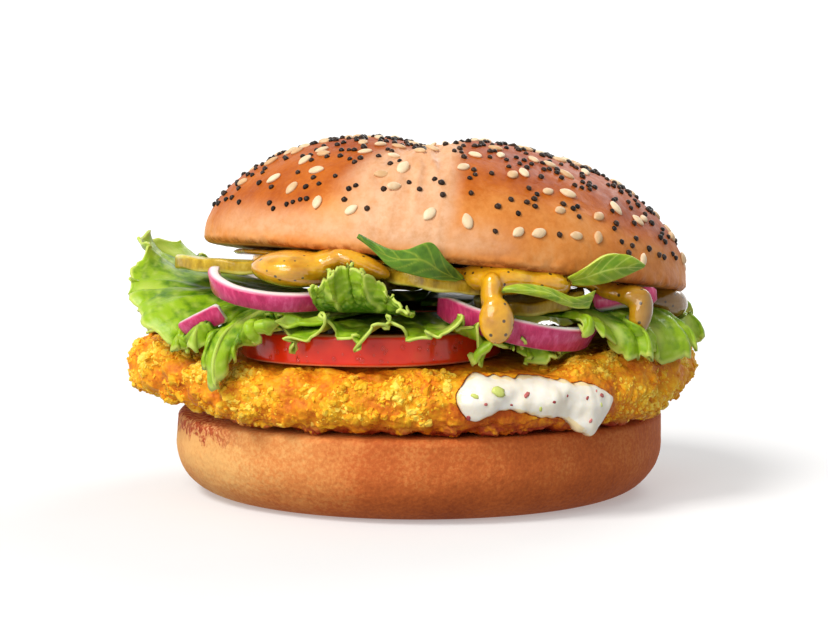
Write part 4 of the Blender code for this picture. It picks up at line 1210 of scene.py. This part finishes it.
def onion_section(band):
    """Points round a rounded rectangle: out from the wall's middle and up, in mm."""
    corner, points = 0.5, []
    wide, high = ONION_WALL / MM / 2 - corner, band / 2 - corner
    for turn, (sx, sy) in enumerate(((1, 1), (-1, 1), (-1, -1), (1, -1))):
        for step in range(5):
            a = math.radians(90 * turn + 22.5 * step)
            points.append((sx * wide + corner * math.cos(a), sy * high + corner * math.sin(a)))
    return points


def make_onion(name, paint):
    centre, radius, (start, stop), band, turns = ONIONS[name]
    section = onion_section(band)
    steps = round((stop - start) * radius * math.pi / 180 / 0.7)
    place = Matrix.Translation(Vector(centre) * MM) @ Matrix.Rotation(math.radians(turns[1]), 4, "Y")
    place = place @ Matrix.Rotation(math.radians(turns[0]), 4, "X")
    points, cut, depth, pale = [], [], [], []
    for step in range(steps + 1):
        s = step / steps
        angle = math.radians(start + (stop - start) * s)
        ends = min(1.0, 0.72 + 6 * min(s, 1 - s))
        thin = 1 + 0.10 * noise.noise(Vector((6 * s, radius, 0)))
        for across, up in section:
            height = up * ends
            t = height / band + 0.5
            bulge = 0.9 * (1 - (2 * t - 1) ** 2)
            reach = radius - ONION_WALL / MM / 2 + bulge + 0.25 * height + across * ends * thin
            reach *= 1 + 0.02 * math.sin(2 * angle)
            wave = 0.12 * noise.noise(Vector((9 * s, up, radius)))
            here = Vector((reach * math.cos(angle), reach * math.sin(angle), height + wave))
            points.append(place @ (here * MM))
            flat = smooth(band / 2 - 0.75, band / 2 - 0.25, abs(up))
            cut.append(max(flat, 1 - smooth(-0.6, 0.2, across)))
            depth.append(min(1.0, max(0.0, 0.5 - across / (ONION_WALL / MM))))
            faded = 0.18 * smooth(0.6, 1, s) if name == "onion_ring_right" else 0.08 * smooth(0.5, 0.0, s)
            pale.append(faded)
    count = len(section)
    faces = []
    for step in range(steps):
        for i in range(count):
            a, b = step * count + i, step * count + (i + 1) % count
            faces.append((a, a + count, b + count, b))
    faces.append(tuple(range(count)))
    faces.append(tuple(reversed(range(steps * count, (steps + 1) * count))))
    obj = new_object(name + "_slice", points, faces)
    shape = bmesh.new()
    shape.from_mesh(obj.data)
    bmesh.ops.recalc_face_normals(shape, faces=shape.faces)
    shape.to_mesh(obj.data)
    shape.free()
    store(obj, "cut", cut)
    store(obj, "depth", depth)
    store(obj, "pale", pale)
    return finish_piece(obj, paint, "onion", name)


# Pickles: centre and radius in mm, and turns about X and Y in degrees

PICKLES = {
    "pickle_left": ((-38, -18, 51.2), 15, (-4, 2)),
    "pickle_centre": ((3.5, -38.5, 49.3), 13.2, (-3, 8)),
    "pickle_right": ((23.5, -30.5, 44.4), 12, (1, -4)),
    "pickle_back": ((-9, 40.5, 43.6), 13, (-3, 3)),
}


def make_pickle(name, paint):
    """A slice with a bumpy skin and a rounded edge, bent a little like a saddle."""
    centre, radius_mm, turns = PICKLES[name]
    radius, half, edge = radius_mm * MM, PICKLE_THICK / 2, 0.5 * MM
    place = Matrix.Translation(Vector(centre) * MM) @ Matrix.Rotation(math.radians(turns[1]), 4, "Y")
    place = place @ Matrix.Rotation(math.radians(turns[0]), 4, "X")
    arc = [math.radians(90 - 18 * step) for step in range(6)]
    upper = [(radius - edge + edge * math.cos(a), half - edge + edge * math.sin(a)) for a in arc]
    face = [(reach * radius, half) for reach in (0, 0.15, 0.3, 0.45, 0.6, 0.75, 0.86)]
    top = [*face, *upper, (radius, half * 0.3), (radius, 0)]
    profile = [*top, *[(r, -h) for r, h in reversed(top[:-1])]]

    def shape(point):
        angle = math.atan2(point.y, point.x)
        reach = math.hypot(point.x, point.y) / radius
        oval = 1 + 0.03 * math.sin(2 * angle + radius_mm)
        oval += 0.012 * reach * lumps(point, 3.2 * MM, radius_mm)
        bend = 0.5 * MM * (point.x * point.x - point.y * point.y) / radius ** 2
        ripple = 0.18 * MM * math.sin(9 * angle) * smooth(0.5, 1, reach)
        return Vector((point.x * oval, point.y * oval, point.z + bend + ripple))

    obj = turned(name + "_slice", profile, PICKLE_STEPS, shape)
    cut = []
    for vertex in obj.data.vertices:
        reach = math.hypot(vertex.co.x, vertex.co.y) / radius
        cut.append(1.0 if reach < 0.95 else smooth(0.75 * half, half, abs(vertex.co.z)))
    store(obj, "cut", cut)
    obj.data.transform(place)
    return finish_piece(obj, paint, "pickle", name)


# Sauce: places where it has run out, as centre and radii in mm and turns about X, Y and Z

SAUCE_RUNS = [
    ((-25.5, -44.5, 52.3), (9.4, 9.2, 3.9), (0, 2, 6)),
    ((-12.0, -49.8, 53.6), (6.8, 3.6, 2.2), (0, 22, 4)),
    ((-17.5, -46.5, 54.2), (5.0, 5.5, 2.4), (0, 0, 0)),
    ((16.5, -47.2, 50.6), (8.4, 6.4, 3.6), (0, 3, 4)),
    ((25.0, -45.5, 49.6), (6.6, 5.6, 3.3), (0, 8, 12)),
    ((14.6, -53.6, 47.6), (2.4, 2.8, 4.8), (10, 0, 0)),
    ((15.5, -56.4, 42.6), (3.7, 2.4, 5.0), (0, -4, 0)),
    ((42.0, -31.5, 46.4), (6.0, 6.0, 2.4), (0, 8, 0)),
    ((46.5, -37.6, 42.6), (2.6, 2.2, 5.2), (0, 8, 0)),
    ((45.0, -35.4, 46.0), (4.0, 3.8, 2.4), (0, 8, 0)),
    ((52.5, -15.5, 43.2), (6.8, 6.4, 4.2), (0, 8, 20)),
    ((-33.0, 36.0, 48.4), (9.0, 6.0, 2.6), (0, 5, -40)),
    ((24.0, 41.0, 43.6), (8.0, 6.0, 2.2), (0, 5, 30)),
]


def make_sauce(crown, neighbours):
    """The spread layer and its runs are melted into one body, then cut clear of what they lie on."""
    top, bottom = -2 * GAP, -2 * GAP - SAUCE_THICK
    edge = SAUCE_RADIUS - 1 * MM
    outline = [(0, top), (edge, top), (SAUCE_RADIUS, (top + bottom) / 2), (edge, bottom), (0, bottom)]
    obj = turned("mustard_spread", finer(outline, 4 * MM), SAUCE_STEPS, lambda p: CROWN_MATRIX @ p)
    for number, (centre, radii, turns) in enumerate(SAUCE_RUNS):
        boolean(obj, ellipsoid(f"run_{number}", centre, radii, turns), "UNION")
    melt = obj.modifiers.new("Melt", "REMESH")
    melt.mode = "VOXEL"
    melt.voxel_size = SAUCE_VOXEL
    even = obj.modifiers.new("Even", "SMOOTH")
    even.factor = 0.5
    even.iterations = 14
    apply_modifiers(obj)
    cut_clear(obj, [crown, *neighbours], GAP)
    return finish_piece(obj, mustard_paint(), "mustard", "mustard_sauce")


# Leaves, from ribs at angles round the burger

LEAVES = {
    # each rib: angle in degrees, then (radius, height) in mm at the root, the middle and the edge
    "lettuce_left": {
        "ribs": [
            (152, (12, 41.8), (44, 45.0), (56, 47)),
            (168, (12, 41.8), (46, 48.2), (60, 55.5)),
            (181, (12, 41.8), (48, 47.6), (62.5, 55.5)),
            (193, (12, 41.8), (49, 46.5), (64.5, 48.5)),
            (204, (12, 41.8), (50, 45.0), (65.0, 40.5)),
            (214, (12, 41.8), (50, 44.0), (64.5, 35.8)),
            (223, (12, 41.8), (51, 43.2), (62, 36)),
            (226, (12, 41.8), (52, 42.8), (62.5, 29.2)),
            (229.5, (12, 41.8), (52, 42.6), (62.5, 28.8)),
            (233, (12, 41.8), (52, 42.4), (60, 37)),
            (239, (12, 41.8), (51, 42.2), (57, 40.4)),
            (249, (14, 41.8), (47, 42.2), (53, 42.2)),
        ],
        "waves": 6, "depth": 1.9, "seed": 2,
    },
    "lettuce_front": {
        "ribs": [
            (236, (12, 40.2), (42, 40.2), (55.5, 39.2)),
            (247, (12, 40.2), (44, 40.2), (57, 39.4)),
            (260, (12, 40.2), (44, 40.6), (57, 40.0)),
            (274, (12, 40.2), (44, 40.6), (57, 41.0)),
            (288, (12, 40.2), (42, 40.0), (53, 38.0)),
            (299, (12, 40.2), (41, 39.0), (52, 33.6)),
            (310, (14, 40.2), (40, 39.0), (50, 34.4)),
        ],
        "waves": 6, "depth": 2.4, "seed": 5,
    },
    "lettuce_curl": {
        "ribs": [
            (248, (54, 44.0), (57, 45.8), (59.5, 48)),
            (253, (50, 43.8), (56, 46), (59.5, 52.5)),
            (258, (48, 43.6), (55.5, 46.5), (59, 53.5)),
            (263, (48, 43.6), (55, 44.7), (58.5, 48.5)),
            (269, (48, 43.6), (54.5, 43.8), (58.5, 44.5)),
        ],
        "waves": 3, "depth": 1.4, "seed": 9,
    },
    "lettuce_right": {
        "ribs": [
            (306, (14, 41.6), (47, 42.2), (56, 41.0)),
            (318, (12, 41.6), (50, 42.8), (60, 34)),
            (330, (12, 41.6), (51, 42.8), (62.5, 33)),
            (342, (12, 41.6), (51, 42.6), (61.5, 35)),
            (356, (12, 41.6), (49, 41.8), (59.5, 38.5)),
            (372, (12, 41.6), (47, 41.4), (58, 40)),
        ],
        "waves": 5, "depth": 2.1, "seed": 14,
    },
    "lettuce_back_right": {
        "ribs": [
            (16, (12, 40.2), (46, 39.6), (62, 33.8)),
            (40, (12, 40.2), (46, 39.2), (61.8, 31.5)),
            (64, (12, 40.2), (46, 39.2), (61.2, 31.2)),
            (88, (12, 40.2), (46, 39.8), (60.5, 33)),
        ],
        "waves": 4, "depth": 1.8, "seed": 20,
    },
    "lettuce_back_left": {
        "ribs": [
            (84, (14, 41.4), (44, 41.2), (60.5, 33.5)),
            (108, (12, 41.2), (44, 41.0), (60.5, 35)),
            (132, (12, 40.4), (44, 40.8), (60.5, 37.5)),
            (152, (12, 40.2), (44, 40.4), (61, 35.5)),
            (168, (12, 40.2), (44, 40.4), (61.5, 34.5)),
            (184, (14, 40.2), (44, 40.4), (60.5, 35)),
        ],
        "waves": 5, "depth": 2.2, "seed": 27,
    },
}
ROW_SPREAD = 0.6


def leaf_base(leaf, s, t):
    """A leaf's unruffled surface: s runs along its edge and t from its root to its edge."""
    ribs = leaf["ribs"]
    angle = math.radians(between([rib[0] for rib in ribs], s))
    radius, height = 0.0, 0.0
    for part, weight in enumerate(((1 - t) * (1 - 2 * t), 4 * t * (1 - t), t * (2 * t - 1))):
        radius += weight * between([rib[1 + part][0] for rib in ribs], s)
        height += weight * between([rib[1 + part][1] for rib in ribs], s)
    return Vector((radius * math.cos(angle), radius * math.sin(angle), height)) * MM


def leaf_vein(leaf, s, t):
    """1 on a vein and 0 between them: ribs from the root, and slanting side veins."""
    count = leaf["waves"] * 0.8
    wander = 0.25 * noise.noise(Vector((4 * s, 3 * t, leaf["seed"])))
    across = (count * s + wander) % 1 - 0.5
    rib = math.exp(-(across / (0.045 + 0.05 * (1 - t))) ** 2)
    slant = (7.5 * t ** 1.4 - 3.2 * abs(across) + 0.5 * wander) % 1 - 0.5
    return max(rib, 0.6 * math.exp(-(slant / 0.10) ** 2) * smooth(0.1, 0.35, t))


def leaf_place(leaf, s, t):
    """The surface with its ruffles, which grow and multiply towards the edge and lean over along it."""
    step = 0.004
    here = leaf_base(leaf, s, t)
    along = (leaf_base(leaf, s + step, t) - leaf_base(leaf, s - step, t)).normalized()
    outward = (leaf_base(leaf, s, t + step) - leaf_base(leaf, s, t - step)).normalized()
    facing = outward.cross(along).normalized()
    seed = leaf["seed"]
    phase = 2 * math.pi * leaf["waves"] * s + 1.6 * noise.noise(Vector((5 * s, seed, 0)))
    depth = leaf["depth"] * MM * (1 + 0.5 * noise.noise(Vector((7 * s, 0, seed))))
    grown = t ** 2.2
    ruffle = depth * grown * math.sin(phase)
    sway = 0.55 * depth * grown * math.sin(2 * phase)
    notch = 0.6 * depth * grown * math.cos(phase + 0.7)
    fine = 2.6 * phase + 2.4 * noise.noise(Vector((13 * s, 1, seed)))
    uneven = 1 + 0.7 * noise.noise(Vector((11 * s, seed, 4)))
    ruffle += depth * uneven * (0.70 * t ** 4 * math.sin(fine) + 0.16 * t ** 8 * math.sin(2.6 * fine + 1))
    sway += depth * uneven * 0.42 * t ** 5 * math.sin(2 * fine + 0.6)
    jag = 0.55 * MM * noise.noise(Vector((70 * s, seed, 2)))
    jag += 0.35 * MM * noise.noise(Vector((160 * s, 3, seed)))
    notch += t ** 9 * (jag + 0.25 * depth * math.cos(2.6 * fine))
    blister = 0.85 * MM * smooth(0.15, 0.5, t) * (1 - 0.6 * t ** 3)
    blister *= noise.noise(Vector((26 * s * leaf["waves"] / 5, 7 * t, seed))) - 0.35 * leaf_vein(leaf, s, t)
    return here + facing * (ruffle + blister) + along * sway + outward * notch


def leaf_sheet(name, columns, rows, place, vein):
    """An open sheet from place(s, t), which keeps its vein and how near its edge each point is."""
    shares = [(column / columns, row / rows) for row in range(rows + 1) for column in range(columns + 1)]
    faces = []
    for row in range(rows):
        for column in range(columns):
            a = row * (columns + 1) + column
            faces.append((a, a + 1, a + columns + 2, a + columns + 1))
    obj = new_object(name, [place(s, t) for s, t in shares], faces)
    store(obj, "vein", [vein(s, t) for s, t in shares])
    return obj, shares


def thicken(obj, thickness):
    solid = obj.modifiers.new("Thickness", "SOLIDIFY")
    solid.thickness = thickness
    solid.offset = 0
    return apply_modifiers(obj)


def make_leaf(name, neighbours, paint):
    leaf = LEAVES[name]
    span = (leaf_base(leaf, 0, 1) - leaf_base(leaf, 1, 1)).length + 20 * MM
    columns = round(max(120, min(300, span / (0.42 * MM))))
    obj, shares = leaf_sheet(
        name + "_leaf", columns, 26, lambda s, t: leaf_place(leaf, s, t ** ROW_SPREAD),
        lambda s, t: leaf_vein(leaf, s, t ** ROW_SPREAD)
    )
    reach = []
    for s, t in shares:
        end = min(s, 1 - s) * leaf["waves"] * 3
        reach.append(max(t ** ROW_SPREAD, 1 - end) if t > 0.6 else t ** ROW_SPREAD)
    store(obj, "reach", reach)
    settle(obj, neighbours, LEAF_THICK / 2 + 2 * GAP)
    cut_clear(thicken(obj, LEAF_THICK), neighbours, 0.2 * MM)
    return finish_piece(obj, paint, "lettuce", name)


# Herb leaves: an upper and a lower edge, each from the tip to the stalk, in mm

HERBS = {
    "herb_leaf_centre": {
        "upper": [(-12.2, -58.6, 60.0), (-6.2, -58.6, 57.0), (-2.5, -58.4, 56.9), (2.2, -57.6, 58.4),
                  (5.4, -55.5, 54.5), (9.0, -50.5, 50.9)],
        "lower": [(-12.4, -58.8, 59.6), (-8.6, -59.2, 56.2), (-5.6, -59.2, 53.6), (-1.0, -58.6, 52.0),
                  (3.4, -56.4, 50.9), (7.6, -52.0, 50.2)],
    },
    "herb_leaf_right": {
        "upper": [(46.0, -48.5, 53.2), (42.4, -50.6, 55.4), (38.0, -51.6, 55.6), (33.8, -50.8, 53.0),
                  (29.2, -46.5, 49.9)],
        "lower": [(45.4, -48.2, 52.8), (42.0, -49.0, 51.2), (38.0, -48.6, 49.8), (33.6, -47.6, 49.2),
                  (28.6, -45.6, 49.2)],
    },
    "herb_leaf_low": {
        "upper": [(15.2, -54.2, 48.4), (20.0, -55.4, 49.7), (26.0, -54.2, 49.0), (31.5, -51.0, 46.8),
                  (36.0, -47.2, 48.0)],
        "lower": [(14.8, -54.4, 48.0), (19.6, -56.2, 48.2), (25.4, -55.2, 47.2), (30.6, -52.0, 45.0),
                  (34.6, -48.4, 44.4)],
    },
}


def herb_place(herb, s, t):
    """Between the leaf's two edges, bowed outwards a little."""
    edges = []
    for side in ("upper", "lower"):
        points = herb[side]
        edges.append(Vector([between([p[axis] for p in points], s) for axis in range(3)]) * MM)
    bow = 0.8 * MM * math.sin(math.pi * t) * math.sin(math.pi * min(1.0, 0.15 + s))
    bow += 0.25 * MM * math.sin(9 * s) * math.sin(2 * math.pi * t)
    return edges[0].lerp(edges[1], t) + Vector((0, -bow, 0))


def herb_vein(s, t):
    """A midrib, and side veins that slant forward from it."""
    across = t - 0.55
    rib = math.exp(-(across / 0.03) ** 2)
    slant = (6 * s + 2.4 * abs(across)) % 1 - 0.5
    return max(rib, 0.75 * math.exp(-(slant / 0.07) ** 2))


def make_herb(name, neighbours, paint):
    obj, shares = leaf_sheet(name + "_blade", 70, 22, lambda s, t: herb_place(HERBS[name], s, t), herb_vein)
    store(obj, "reach", [0.62 + 0.37 * abs(2 * t - 1) ** 6 for _, t in shares])
    settle(obj, neighbours, LEAF_THICK / 2 + GAP)
    cut_clear(thicken(obj, LEAF_THICK), neighbours, 0.15 * MM)
    return finish_piece(obj, paint, "herb", name)


# Light, floor and camera

def make_floor():
    """A pale round floor whose edge sweeps up into a wall. It lights nothing and blocks no light."""
    flat, bend, top = 1.6, 0.6, 2.4
    profile = [(0, 0), (0.3, 0), (flat, 0)]
    for step in range(1, 9):
        turn = math.radians(90 * step / 8)
        profile.append((flat + bend * math.sin(turn), bend * (1 - math.cos(turn))))
    profile.append((flat + bend, top))
    steps = 96
    points, faces = [], []
    for radius, height in profile:
        for step in range(steps):
            turn = 2 * math.pi * step / steps
            points.append((radius * math.cos(turn), radius * math.sin(turn), height))
    for row in range(len(profile) - 1):
        for step in range(steps):
            a, b = row * steps + step, row * steps + (step + 1) % steps
            faces.append((a, b, b + steps, a + steps) if row else (a, b + steps, a + steps))
    obj = new_object("floor", points, faces)
    paint = Paint("pale_floor", Roughness=0.8, Specular_IOR_Level=0.1)
    paint.shader.inputs["Emission Color"].default_value = (1, 1, 1, 1)
    glow = paint.span(paint.distance(), 0.15, 0.7, 0.30, 0.52)
    paint.links.new(glow, paint.shader.inputs["Emission Strength"])
    paint.colour(paint.ramp(paint.noise(60, 2), (0.3, (0.60, 0.60, 0.60)), (0.7, (0.62, 0.62, 0.62))))
    obj.data.materials.append(paint.material)
    obj.data.shade_smooth()
    obj.visible_diffuse = False
    obj.visible_shadow = False
    obj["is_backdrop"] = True


def add_softbox(name, place, size, power):
    """A soft light that looks at the middle of the burger."""
    data = bpy.data.lights.new(name, "AREA")
    data.size = size
    data.energy = power
    aim_light(name, data, place)


def add_sun(name, place, strength, softness):
    data = bpy.data.lights.new(name, "SUN")
    data.energy = strength
    data.angle = math.radians(softness)
    data.color = (1.0, 0.98, 0.95)
    aim_light(name, data, place)


def aim_light(name, data, place):
    obj = bpy.data.objects.new(name, data)
    obj.location = place
    toward = LIGHTS_LOOK_AT - Vector(place)
    obj.rotation_euler = toward.to_track_quat("-Z", "Y").to_euler()
    bpy.context.scene.collection.objects.link(obj)


def make_world():
    world = bpy.data.worlds.new("studio")
    world.use_nodes = True
    world.node_tree.nodes["Background"].inputs["Color"].default_value = (1, 1, 1, 1)
    world.node_tree.nodes["Background"].inputs["Strength"].default_value = WORLD_STRENGTH
    bpy.context.scene.world = world


def make_camera():
    data = bpy.data.cameras.new("camera")
    data.lens = CAMERA_LENS
    data.clip_start = 0.01
    obj = bpy.data.objects.new("camera", data)
    back = Vector((0, -math.cos(CAMERA_ELEVATION), math.sin(CAMERA_ELEVATION)))
    obj.location = CAMERA_TARGET + CAMERA_DISTANCE * back
    obj.rotation_euler = (-back).to_track_quat("-Z", "Y").to_euler()
    bpy.context.scene.collection.objects.link(obj)
    bpy.context.scene.camera = obj


def main():
    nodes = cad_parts
    make_camera()
    make_floor()
    make_world()
    add_sun("key", **KEY_SUN)
    add_softbox("front", **FRONT_SOFTBOX)
    add_softbox("back", **BACK_SOFTBOX)
    bpy.context.scene.view_settings.view_transform = "Standard"

    make_heel()
    make_crown()
    make_cream()
    make_patty()
    red, magenta, olive = tomato_paint(), onion_paint(), pickle_paint()
    make_drops(make_tomato("tomato_front", red))
    make_tomato("tomato_back", red)
    onions = [make_onion(name, magenta) for name in ONIONS]
    pickles = [make_pickle(name, olive) for name in PICKLES]
    sauce = make_sauce(nodes["bun_top"], [*onions, *pickles])
    firm = ["bun_bottom", "chicken_patty", "cream_filling", "bun_top", *TOMATO_SLICES]
    settled = [nodes[name] for name in firm] + onions + pickles + [sauce]
    # The lettuce's colours: painted shade green for the root, lit green, and pale veins and edge.
    lettuce = leaf_paint("lettuce_look", (0.07, 0.19, 0.006), (0.30, 0.48, 0.012), (0.60, 0.70, 0.14))
    for name in LEAVES:
        settled.append(make_leaf(name, settled, lettuce))
    dark = leaf_paint("herb_dark", (0.05, 0.13, 0.012), (0.13, 0.27, 0.020), (0.42, 0.50, 0.05), 0.42)
    light = leaf_paint("herb_light", (0.16, 0.30, 0.015), (0.40, 0.50, 0.03), (0.66, 0.74, 0.16), 0.42)
    for name, paint in zip(HERBS, (dark, light, light)):
        settled.append(make_herb(name, settled, paint))


main()

VISUAL_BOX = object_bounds()
boxes = {"cad": CAD_BOX, "visual": VISUAL_BOX}
{name: [[round(v, 5) for v in corner] for corner in box] for name, box in boxes.items()}
